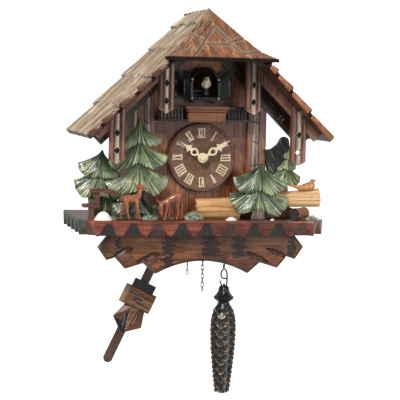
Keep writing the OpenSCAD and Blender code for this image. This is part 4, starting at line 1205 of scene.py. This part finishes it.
def songbird():
    chains = [
        [(105.6, 0, -25.2, 3.6), (102.2, 0, -25.8, 3.9), (98.2, 0, -26.6, 3.3), (93, 0, -27.4, 2.1)],
        [(94, 0, -27, 1.9), (88.6, 0, -25.8, 1.5), (83.6, 0, -24.6, 1.1)],
        [(105.4, 0, -23.6, 2.6), (106.5, 0, -20.9, 2.3)],
        [(107.8, 0, -20.6, 1.1), (110.7, 0, -20.0, 0.4)],
    ]
    chains += [[(104, s * 2.4, -25, 1.5), (98.4, s * 2.4, -26.4, 1.3),
                (91.6, s * 1.4, -27, 0.6)] for s in (-1, 1)]

    def eyes(x, d, z):
        return grid(0.3 * np.sin(x * 1.4), unit(1.4 - np.hypot(x - 107.3, z + 20.2) / 0.6), 0)

    sculpt("songbird_carved", limbs(98.4, *chains), "bird", 0.4, eyes, stands="songbird", slot="pale_wood")


def cuckoo():
    middle = 102.0
    chains = [
        [(0, -0.6, 67.8, 3.3), (0, 0.6, 70.4, 3.4)],
        [(0, 0.8, 71.4, 3.3), (0, 1.6, 72.8, 3.0)],
        [(-0.6, 3.4, 72.9, 0.9), (-1.2, 6.8, 72.2, 0.3)],
        [(0, -3, 67.4, 1.7), (0, -8.4, 66.2, 0.9)],
    ]
    chains += [[(s * 3.2, 0.8, 70.4, 0.8), (s * 3.7, -0.4, 68.6, 1.0),
                (s * 3.2, -2.4, 66.6, 0.5)] for s in (-1, 1)]

    def marks(x, d, z):
        eye = unit(1.8 - np.hypot(np.hypot(np.abs(x) - 1.7, d - middle - 3.6), z - 73.5) / 0.5)
        beak = unit((d - middle - 4.6) / 0.5)
        bars = unit(np.sin(z * 4.4 + np.abs(x)) * 2 - 0.8) * (np.abs(x) > 3.3) * 0.8
        return grid(0, unit(eye + bars + beak * 0.8), 0)

    sculpt("cuckoo_bird", limbs(middle, *chains), "cream", 0.28, marks, "bird", stands="cuckoo",
           slot="bird_plastic")


def split_log(name, left, right, low, high, stands, seed, look):
    """A cleft log: splintered faces and raised fibres. left and right are (x, bottom, top)."""
    s = np.linspace(0, 1, 90)[:, None]
    a = np.linspace(0, 1, 40)[None, :]
    x, bottom, top = (v0 + (v1 - v0) * s for v0, v1 in zip(left, right))
    ridge = np.interp(a, [0, 0.12, 0.45, 0.6, 0.9, 1], [0.55, 0.8, 1.0, 0.86, 0.5, 0.25])
    fibre = wobble(a * 26, s * 1.6, seed)
    crack = gouge(a - 0.58 - 0.06 * np.sin(s * 5), 0.012)
    d = low + (high - low) * ridge + 0.55 * fibre * (0.4 + a * 0.6) - 0.7 * crack
    ragged = 0.7 * wobble(a * 9, a * 0, seed + 1)
    x = x + np.where(s > 0.98, ragged, 0) - np.where(s < 0.02, ragged, 0)
    tone = grid(0.45 * fibre, unit(crack * 0.7 + unit(-fibre - 0.5) * 0.5), 0)
    slab(name, grid(x, np.clip(d, low + 0.4, high), bottom + (top - bottom) * a), low, look, tone,
         stands=stands,
         slot="pale_wood", angle=40)


def round_log():
    """A short log with bark round it and year rings on both ends."""
    rows, cols = 30, 40
    start, way = np.array([85, 113, SHELF_Z + 5.8]), np.array([1, -1, 0]) / ROOT2
    side, up = np.array([1, 1, 0]) / ROOT2, np.array([0, 0, 1])
    s, a = np.linspace(0, 20, rows), around(cols)
    r = 5.6 + 0.25 * wobble(np.cos(a) * 6, s[:, None] / 2, 51) + 0.12 * wobble(np.sin(a) * 9, s[:, None], 52)
    r = np.minimum(r, 5.8)[:, :, None]
    axis = start + way * s[:, None]
    points = list((axis[:, None] + r * (np.cos(a)[:, None] * side + np.sin(a)[:, None] * up)).reshape(-1, 3))
    faces = quads(rows, cols, True)
    looks = [0] * len(faces)
    tone = [(0, 0, 0)] * len(points)
    for i, sign in ((0, -1), (rows - 1, 1)):
        edge = list(range(i * cols, (i + 1) * cols))
        around_end = [points[j] - axis[i] for j in edge]
        for scale, cut in ((0.86, 0.9), (0.82, 0.1), (0.6, 0.5), (0.55, 0.1), (0.3, 0.5), (0.25, 0.1)):
            inner = list(range(len(points), len(points) + cols))
            points += [axis[i] + way * (sign * -0.1 * (scale < 0.85)) + p * scale for p in around_end]
            tone += [(0, cut, 0)] * cols
            faces += band(edge, inner)
            edge = inner
        faces.append(tuple(edge))
    looks += [1] * (len(faces) - len(looks))
    build("round_log_bark", points, faces, ["log_bark", "dark"], stands="round_log", slot="bark", tone=tone,
          looks=looks)


def bench():
    parts = [block(-115, -99, 102.2, 112, -45.4, -42.4), block(-114.4, -99.6, 103, 111.2, -42.4, -41.9),
             block(-109.3, -104.3, 104.4, 110, SHELF_Z, -45.4), block(-103.2, -98.6, 102.2, 106, -42, -28.2)]
    plank = [(-108, -28), (-98, -27.8), (-88, -29), (-78, -34), (-86, -34.6), (-97, -31.6), (-108, -32.6)]
    parts.append(prism(plank, 106, 108.9))
    piece("bench_plain", parts, "bench", 0.45, stands="bench", slot="bench_wood")


def tufts():
    """Curled strands of dried moss in three tufts, with a little between the trees' feet."""
    r = np.random.default_rng(61)
    parts = []
    for cx, cd, size, height, count in (
        (-11.5, 110.6, 10.5, 10.0, 330), (-53, 110.0, 8.5, 6.5, 170), (103, 110.4, 6.0, 5.5, 110),
        (-34, 107, 4, 4.5, 40), (-88, 109, 5, 5, 60), (93, 107, 4, 4, 40),
    ):
        for _ in range(count):
            a, spread = r.uniform(0, TURN), math.sqrt(r.uniform(0.0, 1))
            c, s = math.cos(a), math.sin(a)
            base = np.array([cx + size * 0.75 * spread * c, cd + size * 0.36 * spread * s,
                             SHELF_Z + height * r.uniform(0, 0.45) * (1 - spread)])
            way = np.array([c, 0.5 * s, 0]) * r.uniform(0.5, 2.2)
            way[2] = height * r.uniform(0.3, 0.8) * (1.05 - 0.6 * spread)
            curl, turn, wide = r.uniform(0, 6.28), r.uniform(3, 7) * r.choice([-1, 1]), r.uniform(0.5, 1.5)
            t = np.linspace(0, 1, 9)
            swirl = grid(np.cos(curl + turn * t), 0.6 * np.sin(curl + turn * t),
                         0.7 * np.sin(curl + turn * 1.3 * t))
            path = base + way * t[:, None] + swirl * wide * t[:, None]
            path[:, 1] = np.minimum(path[:, 1], SHELF_D - 0.8)
            path[:, 2] = np.maximum(path[:, 2], SHELF_Z + 0.1)
            parts.append(tube(path, [0.3, 0.3, 0.29, 0.28, 0.26, 0.24, 0.2, 0.16, 0.08], 4))
    piece("moss_strands", parts, "moss", stands="moss_tufts", slot="moss")


def stones():
    parts = []
    for cx, cd, rx, rz in ((24.6, 111, 5.6, 3.2), (64.3, 111, 2.2, 1.5), (-96.2, 110, 8.6, 8.0)):
        points, faces = ball((0, 0, 0), 1.0, 16)
        points = points * (1 + 0.06 * wobble(points[:, 0] * 2, points[:, 2] * 2, 72))[:, None]
        points[:, 0] *= 1 - 0.34 * unit(points[:, 2])
        points = points * (rx, rx * 0.62, rz) + (cx, cd, SHELF_Z)
        points[:, 2] = np.maximum(points[:, 2], SHELF_Z)
        parts.append((points, faces))
    piece("white_stones", parts, "stone", stands="pebbles", slot="pebble")


# ---- dial -------------------------------------------------------------------


def dial():
    """The turned dial: a rounded rim, fine rings and a shallow dish."""
    profile = [(4.2, 0), (32.5, 0), (32.5, 3.6), (32.2, 4.9), (31.4, 5.9), (30.6, 5.9), (29.8, 5.2),
               (29.3, 4.6)]
    for r in np.arange(28.6, 4.6, -0.3):
        every = 4 if r > 17.6 else 2
        profile.append((r, 4.6 - (0.16 if round(r / 0.3) % every == 0 else 0.0)))
    points, faces = lathe(profile + [(4.2, 4.6), (4.2, 0)], 120)
    x, z, d = points.T
    radius = np.hypot(x, z)
    tone = grid(0.25 * np.sin(radius * 2.7), ((d < 4.5) & (d > 4.3)) * 0.55 + (radius > 29.2) * 0.35, 0)
    build("dial_turned", grid(x, WALL_D + d, z), faces, "dial", stands="dial", slot="dial_wood", tone=tone,
          angle=30)


def hand(node, length, depth, degrees, bore):
    """A pierced hand cut from thin sheet: ring, open heart, winged leaf and fine point."""
    name, body = node + "_cut", node.replace("hand", "train")
    hub, full_length, thick = 4.6, 30.5, 0.35
    k = length / full_length
    leaf = [(1.2, 6.4), (2.2, 7.4), (3.6, 9.6), (3.9, 12.0), (3.0, 14.2), (1.7, 15.4), (1.3, 16.4),
            (2.7, 17.4),
            (4.1, 17.2), (3.4, 19.0), (2.2, 19.8), (1.9, 21.0), (1.0, 23.0), (0.62, 26)]
    half = [(1.1, hub - 0.3)] + [(x, z * k) for x, z in leaf] + [(0.24, length)]
    heart = [(0.5, 13.6), (1.6, 12.9), (2.2, 11.2), (1.5, 9.4)]
    hole = [(0, 8.2)] + heart[::-1] + [(0, 12.8)] + [(-x, z) for x, z in heart]
    ring = [(hub * math.sin(a), hub * math.cos(a)) for a in np.linspace(0.26, TURN - 0.26, 40)]
    outline = ring + [(-x, z) for x, z in half] + half[::-1]
    curve = bpy.data.curves.new(name, "CURVE")
    curve.dimensions = "2D"
    curve.fill_mode = "BOTH"
    for loop in (outline, [(x, z * k) for x, z in hole],
                 [(bore * math.sin(a), bore * math.cos(a)) for a in around(32)]):
        spline = curve.splines.new("POLY")
        spline.points.add(len(loop) - 1)
        for point, (x, z) in zip(spline.points, loop):
            point.co = (x * 1e-3, z * 1e-3, 0, 1)
        spline.use_cyclic_u = True
    curve.extrude = thick * 1e-3
    curve.bevel_depth = 0.25e-3
    curve.offset = -curve.bevel_depth
    curve.bevel_resolution = 2
    obj = put(name, curve)
    mesh = evaluated(obj)
    bpy.data.objects.remove(obj)
    bpy.data.curves.remove(curve)
    mesh.name = name
    turn = Matrix.Rotation(math.radians(degrees), 4, "Y") @ Matrix.Rotation(math.radians(90), 4, "X")
    mesh.transform(Matrix.Translation((0, -(depth + 0.6) * 1e-3, -HOOK * 1e-3)) @ turn)
    mesh.materials.clear()
    mesh.materials.append(M["ivory"])
    mesh.shade_smooth()
    mesh.set_sharp_from_angle(angle=math.radians(40))
    adopt(put(name, mesh), body, node)


# ---- cuckoo's doorway -------------------------------------------------------


def arch_path(half, low, high, steps=26):
    arc = [(-half * math.cos(a), high - half + half * math.sin(a)) for a in np.linspace(0, math.pi, steps)]
    return [(-half, low)] + arc + [(half, low)]


def door_frame():
    """A moulded arch with a scalloped sill, its lining and the brackets of the doors."""
    outer, inner = arch_path(14.2, 55.4, 84.8), arch_path(10.6, 55.4, 81.0)
    section = [(0.0, 84.0), (0.0, 94.5), (0.12, 96.0), (0.34, 96.9), (0.62, 96.9), (0.8, 96.1), (0.86, 95.0),
               (1.0, 94.6), (1.0, 84.0)]
    n = len(section)
    points = [(xo + (xi - xo) * share, d, zo + (zi - zo) * share)
              for (xo, zo), (xi, zi) in zip(outer, inner) for share, d in section]
    ends = [tuple(range(n)), tuple(range(len(points) - n, len(points)))]
    scallop = [(-14.2, 57), (-13.4, 55.6), (-12.8, 54.2), (-11.4, 52.6), (-10.7, 51), (-9.4, 51.6),
               (-7.4, 52.9),
               (-5, 53.5), (-2.4, 53.3)]
    sill = scallop + [(0, 54)] + [(-x, z) for x, z in reversed(scallop)] + [(10.6, 56.8), (-10.6, 56.8)]
    parts = [(points, quads(len(outer), n, True) + ends), prism(sill, WALL_D, 96.2)]
    piece("door_arch", parts, "black", 0.25, ease_angle=40, stands="door_frame", slot="black_plastic",
          angle=30)
    pins = []
    for x in (-12.6, 12.6):
        pins += [block(x - 1, x + 1, 96.4, 99.4, low, low + 1.4) for low in (55.0, 72.2)]
        pins.append(tube([(x, 98.4, 54.4), (x, 98.4, 74.2)], 0.42, 10))
    piece("door_pins", pins, "steel", slot="black_plastic")
    beads = [tube([(x, 97.3, z) for x, z in arch_path(12.3, 58, 82.8, 40)], 0.5, 8)]
    beads += [ball((x, 96.6, 55.0 + 0.4 * math.cos(x)), 0.75) for x in np.linspace(-9, 9, 7)]
    piece("arch_beading", beads, "black", slot="black_plastic")


def door(side):
    """One leaf, standing open, with a raised panel and its pull wire."""
    word = "left" if side < 0 else "right"
    hinge, open_turn = np.array([side * 12.6, 98.4]), math.radians(145)
    along = np.array([-side * math.cos(open_turn), math.sin(open_turn)])
    across = np.array([along[1], -along[0]]) * side

    def placed(u, v, z):
        return (*(hinge + along * u + across * v), z)

    def leaf(u0, u1, low, inset, v0, v1):
        outline = [(u1, low), (u0, low)]
        for u in np.linspace(u0, u1, 12):
            z = 69.9 + math.sqrt(max(12.0 ** 2 - (12.6 - u) ** 2, 0)) - inset
            outline.append((u, min(z, 71.6) if u < 2.2 else z))
        return shell([placed(u, v, z) for v in (v0, v1) for u, z in outline])

    points, faces = lathe([(0.55, 56.9), (1.0, 56.9), (1.0, 71.7), (0.55, 71.7), (0.55, 56.9)], 20)
    parts = [leaf(0.7, 12.2, 56.8, 0.0, -0.45, 0.3), leaf(2.4, 11.2, 58.2, 1.6, -0.6, 0.6),
             (points + (*hinge, 0), faces)]
    piece("leaf_" + word, parts, "black", 0.15, 1, 40, body=word + "_door", stands="door_" + word,
          slot="black_plastic")
    wires = [tube([placed(u, v, z) for u, v, z in path], radius, 6) for radius, path in (
        (0.16, ((1.5, -0.75, 58.5), (1.5, -0.8, 64), (1.5, -0.75, 70))),
        (0.13, ((11.0, -0.7, 58.2), (11.0, -0.75, 66), (11.0, -0.7, 72))),
        *((0.2, ((0.2, -1.0, z), (2.6, -0.75, z))) for z in (60, 66, 71)),
    )]
    piece("leaf_wire_" + word, wires, "steel", body=word + "_door", slot="steel")


def balcony():
    """The sill box with its beads, and the dark baluster rails beside it; the left spindles are painted light, as
    highlights on dark balusters, and the right ones dark as painted shade.
    """
    tray = [block(-18, 18, 84, 108, 34, 43), block(-19.2, 19.2, 84, 109.2, 43, 45.4),
            block(-20.4, 20.4, 84, 110.4, 45.4, 48.6)]
    piece("sill_tray", tray, "sill", 0.7, 3, stands="sill_box", slot="sill_wood")
    beads = [block(-15.6, 15.6, 107.8, 108.5, low, high) for low, high in ((35.6, 36.4), (41.0, 41.6))]
    piece("sill_beads", beads, "facade", slot="sill_wood")
    turned = [(0, 0), (0.95, 0), (0.95, 0.8), (0.5, 1.3), (0.85, 2.6), (0.95, 3.6), (0.6, 4.8), (0.42, 5.6),
              (0.7, 6.4), (0.5, 7.2), (0.9, 7.9), (0.9, 8.6), (0, 8.6)]
    points, faces = lathe(turned, 12)
    rails, posts = [], []
    for side in (-1, 1):
        for x0, x1, *rest in ((18.1, 44, 84, 104, 34, 36.4), (20.5, 44, 101, 104, 45, 48),
                              (20.5, 44, 97.4, 99, 36.4, 46.4), (41.6, 44, 98.8, 101.2, 36.4, 48)):
            rails.append(block(*sorted((side * x0, side * x1)), *rest))
        posts.append([(points + (side * (22.4 + i * 3.2), 102.5, 36.4), faces) for i in range(7)])
    piece("rail_bars", rails, "rail", 0.3, stands="railings", slot="rail_wood")
    # The same spindles on both sides: light on the left as painted highlights, dark on the right as painted
    # shade.
    piece("rail_spindles_left", posts[0], "spindle", slot="rail_wood")
    piece("rail_spindles_right", posts[1], "dark", slot="rail_wood")


# ---- pendulum and weight ----------------------------------------------------


def hang(points):
    """Points of the upright pendulum, pivot at (0, depth, 0), turned to its rest angle."""
    x, d, z = np.asarray(points, float).reshape(-1, 3).T
    c, s = math.cos(SWING_TILT), math.sin(SWING_TILT)
    return grid(x * c + z * s, d, -x * s + z * c + SWING_Z)


def hung(shape):
    points, faces = shape
    return hang(points), faces


def across(profile, turns):
    """A lathe shape whose axis runs along the pendulum's depth."""
    points, faces = lathe(profile, turns)
    return points[:, (0, 2, 1)] + (0, SWING_D, 0), faces


def pendulum():
    """The rod with its eye, the engraved block under a cap, and a faceted leaf whose facets are painted as lit
    and shaded, with cream lines as painted highlights.
    """
    d = SWING_D
    whole = dict(body="pendulum", slot="pendulum_wood")
    outline = [(-2.6, 0), (-2.6, -70), (-4.3, -78), (-4.3, -186), (-2, -189), (2, -189), (4.3, -186),
               (4.3, -78),
               (2.6, -70), (2.6, 0)]
    rod = piece("swing_rod", [hung(prism(outline, d - 1.2, d + 1.2))], "rod", stands="pendulum_rod", **whole)
    carve(rod, hung(across([(0, -2), (3, -2), (3, 2), (0, 2)], 24)))
    bevel(rod, 0.4)
    eye = across([(1.05, -1.2), (4.0, -1.2), (4.0, 1.2), (1.05, 1.2), (1.05, -1.2)], 32)
    piece("swing_eye", [hung(eye)], "steel", **whole)

    low, high, half = -130.4, -111.6, 15.6
    z = np.linspace(low, high, 60)[:, None]
    x = np.linspace(-half, half, 90)[None, :]
    r = np.random.default_rng(81)
    cut = np.zeros((60, 90))
    for _ in range(9):
        cx, cz, reach = r.uniform(-8, 11), r.uniform(-127, -115), r.uniform(2.5, 6)
        dist = to_segment(x, z, (cx - reach, cz), (cx + reach, cz + r.uniform(-0.5, 0.5)))
        cut = np.maximum(cut, unit(1.5 * gouge(dist, 0.95)) * r.uniform(0.85, 1.0))
    rim_to = np.minimum(half - np.abs(x), np.minimum(z - low, high - z))
    left, lower = unit(1 - (x + half) / 4.2), unit(1 - (z - low) / 2.6)
    n = -0.5 * cut - 1.4 * unit(1 - rim_to / 1.5) - 2.6 * left - 0.8 * lower
    burnt = unit(1 - rim_to / 2.2) * (x > -13) * (0.55 + 0.3 * wobble(x / 3, z / 3, 82))
    # lower darkens the lower chamfer as painted shade; left lightens the left chamfer as a painted highlight.
    tone = grid(0.1 + 0.35 * wobble(x / 8, z / 2, 83), unit(cut + burnt * 0.9 + lower * 0.5),
                np.clip(left * 1.6, 0, 0.8))
    slab("swing_block", hang(grid(x, d + 8.4 + n, z)).reshape(60, 90, 3), d + 1.2, "block", tone,
         stands="pendulum_ornament", angle=30, **whole)
    piece("swing_cap", [hung(block(-10.5, 11.5, d + 1.2, d + 6.2, -112.6, -103.5))], "rail", 0.8, **whole)

    edge = [(-8.6, low), (12.4, low), (16.4, -145.4), (3.1, -155.8), (-4, -154.2), (-14, -146)]
    crest = [(3.6, d + 6.6, low), (-2.4, d + 6.2, low), (2.4, d + 4.2, -155), (-6.0, d + 4.4, -147)]
    n = len(edge)
    sides = range(n, 2 * n)
    points = [(x, d + lift, z) for lift in (1.3, 2.6) for x, z in edge] + crest
    a, b, c, e = range(2 * n, 2 * n + 4)
    facets = [(n + 1, a, n + 2), (n + 2, a, c), (n + 2, c, n + 3), (a, b, c), (b, e, c), (c, e, n + 4),
              (n + 3, c, n + 4), (n, n + 5, b), (b, n + 5, e), (e, n + 5, n + 4), (n, b, a), (n, a, n + 1)]
    # The facets take mid-brown, black or golden wood by how they face the light: painted light and shade.
    looks = [0] * (n + 1) + [0, 0, 1, 2, 1, 1, 1, 0, 0, 1, 2, 0]
    leaf = build("swing_leaf", hang(points), [tuple(range(n))] + band(range(n), sides) + facets,
                 ["bench", "rail", "block"], angle=10, looks=looks, **whole)
    bevel(leaf, 0.35, 1, 6)
    # Cream lines over the leaf: painted highlights.
    glint_lines = []
    for (ax, az, ad), (bx, bz, bd) in (
        ((3.4, -132, 6.7), (2.4, -153, 4.4)), ((-2.2, -132, 6.3), (0.6, -150, 4.9)),
        ((-4.6, -139, 5.4), (-1.6, -152, 4.6)), ((-9.4, -133, 3.4), (-11.8, -144.6, 3.1)),
        ((15.6, -144.8, 2.7), (4.6, -154, 2.9)), ((6.5, -134, 5.6), (6.0, -148, 4.2)),
    ):
        line = [(ax + (bx - ax) * t, d + ad + (bd - ad) * t, az + (bz - az) * t) for t in np.linspace(0, 1,
            5)]
        glint_lines.append(tube(hang(line), [0.06, 0.13, 0.16, 0.13, 0.05], 5))
    piece("swing_leaf_glints", glint_lines, "cream", **whole)


def cone():
    """A cast fir cone: overlapping scales with rubbed edges over a dark core, under a lobed cap and ring; the
    rubbed edges carry painted highlights too, brighter on some scales.
    """
    middle = (CONE_X, CONE_D)

    def radius(z):
        return np.interp(z, [-227.6, -224.4, -213, -197, -181, -165.5, -157.5, -149.6, -145, -141],
                         [5.4, 6.9, 8.3, 10.0, 11.5, 12.1, 12.0, 10.8, 9.0, 6.4])

    core = [(0, -227.4), (3.2, -227.2), (5.2, -225.6)] + [(radius(z) - 1.2, z) for z in np.linspace(-221,
        -147, 24)]
    core += [(8.4, -144.6), (6.6, -142.0), (5.4, -139.8), (5.6, -138.6), (7.6, -137.2), (9.5, -135.6),
             (9.6, -134.2),
             (7.4, -132.2), (5.6, -129.6), (5.0, -127.2), (4.8, -124.8), (3.6, -123.6), (0, -123.4)]
    points, faces = lathe(core)
    angle = np.arctan2(points[:, 1], points[:, 0])
    lobes = 1 + 0.1 * np.cos(3 * angle + 1.2) * np.exp(-((points[:, 2] + 130) / 4.5) ** 2)
    points[:, :2] *= lobes[:, None]
    parts = [(points + (*middle, 0), faces)]
    tone = [np.tile((0, 0.25, 0), (len(points), 1))]
    per, pitch, rows, cols = 8, 4.5, 6, 9
    half = math.pi / per * 1.16
    r0 = np.random.default_rng(91)
    t = np.linspace(0, 1, rows)[:, None]
    s = np.linspace(-1, 1, cols)[None, :]
    round_edge = 1 - np.abs(s) ** 2.4
    ring = rim(rows, cols)
    back = tuple(range(rows * cols, rows * cols + len(ring)))
    scale_faces = quads(rows, cols) + band(ring, back) + [back]
    for i in range(18):
        z0 = -143.8 - i * pitch
        for j in range(per):
            z = z0 - pitch * 1.26 * t * (0.5 + 0.5 * round_edge)
            r = np.minimum(radius(z0 - pitch * 0.6 * t) - 0.95 + 1.2 * t + 0.35 * round_edge * t, 12.75)
            taper = 0.82 + 0.18 * np.sin(math.pi * np.minimum(t * 1.2, 1))
            a = TURN * (j + 0.5 * (i % 2)) / per + s * half * taper
            glow = r0.uniform(0.35, 1.0)
            front = grid(CONE_X + r * np.cos(a), CONE_D + r * np.sin(a), np.maximum(z, -227)).reshape(-1, 3)
            # Each scale's edge: real copper rub and painted highlight together, brighter on some scales than
            # others.
            rub = np.maximum(0.0, (t - 0.78) / 0.22) * (0.45 + 0.55 * round_edge) * glow
            inner = front[ring]
            inner[:, :2] = (inner[:, :2] - middle) * 0.9 + middle
            parts.append((np.concatenate([front, inner]), scale_faces))
            tone += [grid(0, 0.5 * (1 - t) ** 2, rub).reshape(-1, 3),
                     np.tile((0, 0.6, 0.15), (len(ring), 1))]
    piece("fir_cone", parts, "bronze", body="weight", stands="weight_cone", slot="bronze",
          tone=np.concatenate(tone), angle=50)
    ring = [(CONE_X, CONE_D + 2.3 * math.cos(a), -124.2 + 2.3 * math.sin(a)) for a in around(32)]
    piece("cone_ring", [tube(ring, 0.8, 10, True)], "iron", body="weight", slot="bronze")


def hook():
    """The wire hook: a ring on the chain, a long loop, a straight stem and an open hook at the cone's eye."""
    ring = [(-0.6, 1.9 * math.cos(a), -104.9 + 1.9 * math.sin(a)) for a in around(24)]
    line = [(x, 0, z) for x, z in (
        (2.2, -116.4), (-1.2, -116.8), (-3.2, -114.6), (-3.4, -111.6), (-2.2, -108.4), (-0.6, -106.8),
        (1.2, -107.4), (2.5, -110), (2.9, -114), (2.9, -119), (2.6, -122.6))]
    line += [(2.5 * math.cos(a), 0.1, -123.0 + 2.4 * math.sin(a)) for a in np.linspace(-0.1, -math.pi, 10)]
    line = np.array(line + [(-3.2, 0.1, -120.6), (-3.8, 0.1, -118.9)])
    fine = np.concatenate([np.stack([line[:-1], (line[:-1] + line[1:]) / 2], 1).reshape(-1, 3), line[-1:]])
    for _ in range(2):
        fine[1:-1] = (fine[:-2] + 2 * fine[1:-1] + fine[2:]) / 4
    points, faces = merged([tube(ring, 0.5, 8, True), tube(fine, 0.72, 10), ball(line[-1], 0.72)])
    build("wire_hook", points + (CONE_X, CONE_D, 0), faces, "iron", "weight", "weight_hook", "iron")
    links = []
    for z, wide, deep in ((-106.4, 0, 1.3), (-110.2, 1.3, 0)):
        loop = [(-8 + wide * math.cos(a), CONE_D + deep * math.cos(a),
                 z + 2.3 * math.sin(a)) for a in around(20)]
        links.append(tube(loop, 0.38, 6, True))
    piece("chain_end", links, "steel", slot="steel")


# ---- put together -----------------------------------------------------------

roof_slope(-1)
roof_slope(1)
hip()
for side, word in ((-1, "left"), (1, "right")):
    hanging_post("outer_post_" + word, 85.8, -5.1, (7.2, 23.3), side, "outer_posts" if side < 0 else ())
    hanging_post("inner_post_" + word, 41.1, 41.5, (53, 69.2), side, "inner_posts" if side < 0 else ())
    log_strip(side)
    door(side)
front_parts()
shelf()
skirt()
trees()
deer()
songbird()
cuckoo()
split_log("cleft_log_left", (-6, SHELF_Z, -38.4), (36, SHELF_Z, -36.8), 91, 101, "split_log_left", 91, "log")
split_log("cleft_log_right", (69, -45.4, -32.2), (114, -45.4, -27.7), 94.8, 101.7, "split_log_right", 93,
          "log_pale")
round_log()
bench()
tufts()
stones()
dial()
hand("hour_hand", 26, 92.4, 304.75, 2.5)
hand("minute_hand", 30.5, 95.0, 57.0, 1.25)
door_frame()
balcony()
pendulum()
cone()
hook()

for nodes, look, ease in (
    ("back_panel", "raw", 0.5),
    ("side_walls", "inner", 0.5),
    ("front_wall", "facade", 0),
    ("gable_braces", "dark", 0.6),
    ("rafters", "post", 0.7),
    ("numerals", "ivory", 0.18),
    ("dial_nut", "brass", 0.2),
    ("hand_nut", "ivory", 0.2),
    ("cuckoo_carriage", "black", 0.2),
    ("cuckoo_rail", "black", 0.4),
    ("movement_case", "case", 0.8),
    ("movement_cover", "case", 0.4),
    ("pendulum_hanger chains battery_contacts case_screws minute_arbor", "steel", 0),
    ("hour_wheel setting_wheel night_switch", "white", 0.1),
    ("batteries", "cell", 0),
    ("circuit_board", "board", 0.2),
    ("motor_coil", "copper", 0.2),
    ("speaker", "case", 0),
):
    dress(nodes, look, ease)


# ---- studio -----------------------------------------------------------------


def studio():
    """A pale room that casts no light on the clock, four lamps and the photo's camera."""
    scene = bpy.context.scene
    scene.view_settings.view_transform = "Standard"
    scene.view_settings.look = "None"
    world = bpy.data.worlds.new("studio")
    scene.world = world
    world.use_nodes = True
    back = world.node_tree.nodes["Background"]
    back.inputs["Color"].default_value = (1, 1, 1, 1)
    back.inputs["Strength"].default_value = 0.42

    p = Paint("pale_ground", Roughness=0.9, Base_Color=(0.8, 0.8, 0.8, 1), Emission_Color=(1, 1, 1, 1),
              Emission_Strength=0.9)
    room = [(x, y, z) for z in (-0.9, 9) for x, y in ((-9, -9), (9, -9), (9, 9), (-9, 9))]
    walls = [(4, 5, 6, 7), (0, 1, 5, 4), (1, 2, 6, 5), (2, 3, 7, 6), (3, 0, 4, 7)]
    for name, faces in (("floor", [(0, 1, 2, 3)]), ("backdrop", walls)):
        mesh = bpy.data.meshes.new(name)
        mesh.from_pydata(room, [], faces)
        mesh.materials.append(p.material)
        sheet = put(name, mesh)
        sheet.visible_diffuse = sheet.visible_glossy = sheet.visible_shadow = False

    centre = Vector((0, -0.07, -0.11))
    for name, at, size, power, colour in (
        ("key", (-0.75, -1.25, 0.95), 0.45, 20, (1.0, 0.98, 0.95)),
        ("fill", (0.9, -1.3, 0.1), 0.9, 6, (0.96, 0.98, 1.0)),
        ("top", (-0.3, -0.2, 1.2), 0.5, 5.5, (1, 1, 1)),
        ("rear", (0.5, 1.2, 0.5), 0.8, 4.5, (1, 1, 1)),
    ):
        light = bpy.data.lights.new(name, "AREA")
        light.size, light.energy, light.color = size, power, colour
        lamp = put(name, light)
        lamp.location = at
        lamp.rotation_mode = "QUATERNION"
        lamp.rotation_quaternion = (centre - Vector(at)).to_track_quat("-Z", "Y")

    # The camera, fitted to the photo. The focal length is in parts of a frame that is 400 wide.
    az, el, roll = math.radians(-13.239), math.radians(4.512), math.radians(1.264)
    focal, frame_width = 1527.19, 400
    toward = -Vector((math.sin(az) * math.cos(el), -math.cos(az) * math.cos(el), math.sin(el)))
    level = toward.cross(Vector((0, 0, 1))).normalized()
    upright = level.cross(toward)
    right = level * math.cos(roll) + upright * math.sin(roll)
    up = -level * math.sin(roll) + upright * math.cos(roll)
    lens = bpy.data.cameras.new("camera")
    lens.sensor_width = 36.0
    lens.lens = lens.sensor_width * focal / frame_width
    lens.clip_start, lens.clip_end = 0.05, 50
    camera = put("camera", lens)
    at = (-0.32839, -1.48266, 0.07307 - HOOK * 1e-3)
    camera.matrix_world = Matrix([(right[i], up[i], -toward[i], at[i]) for i in range(3)] + [(0, 0, 0, 1)])
    scene.camera = camera


studio()
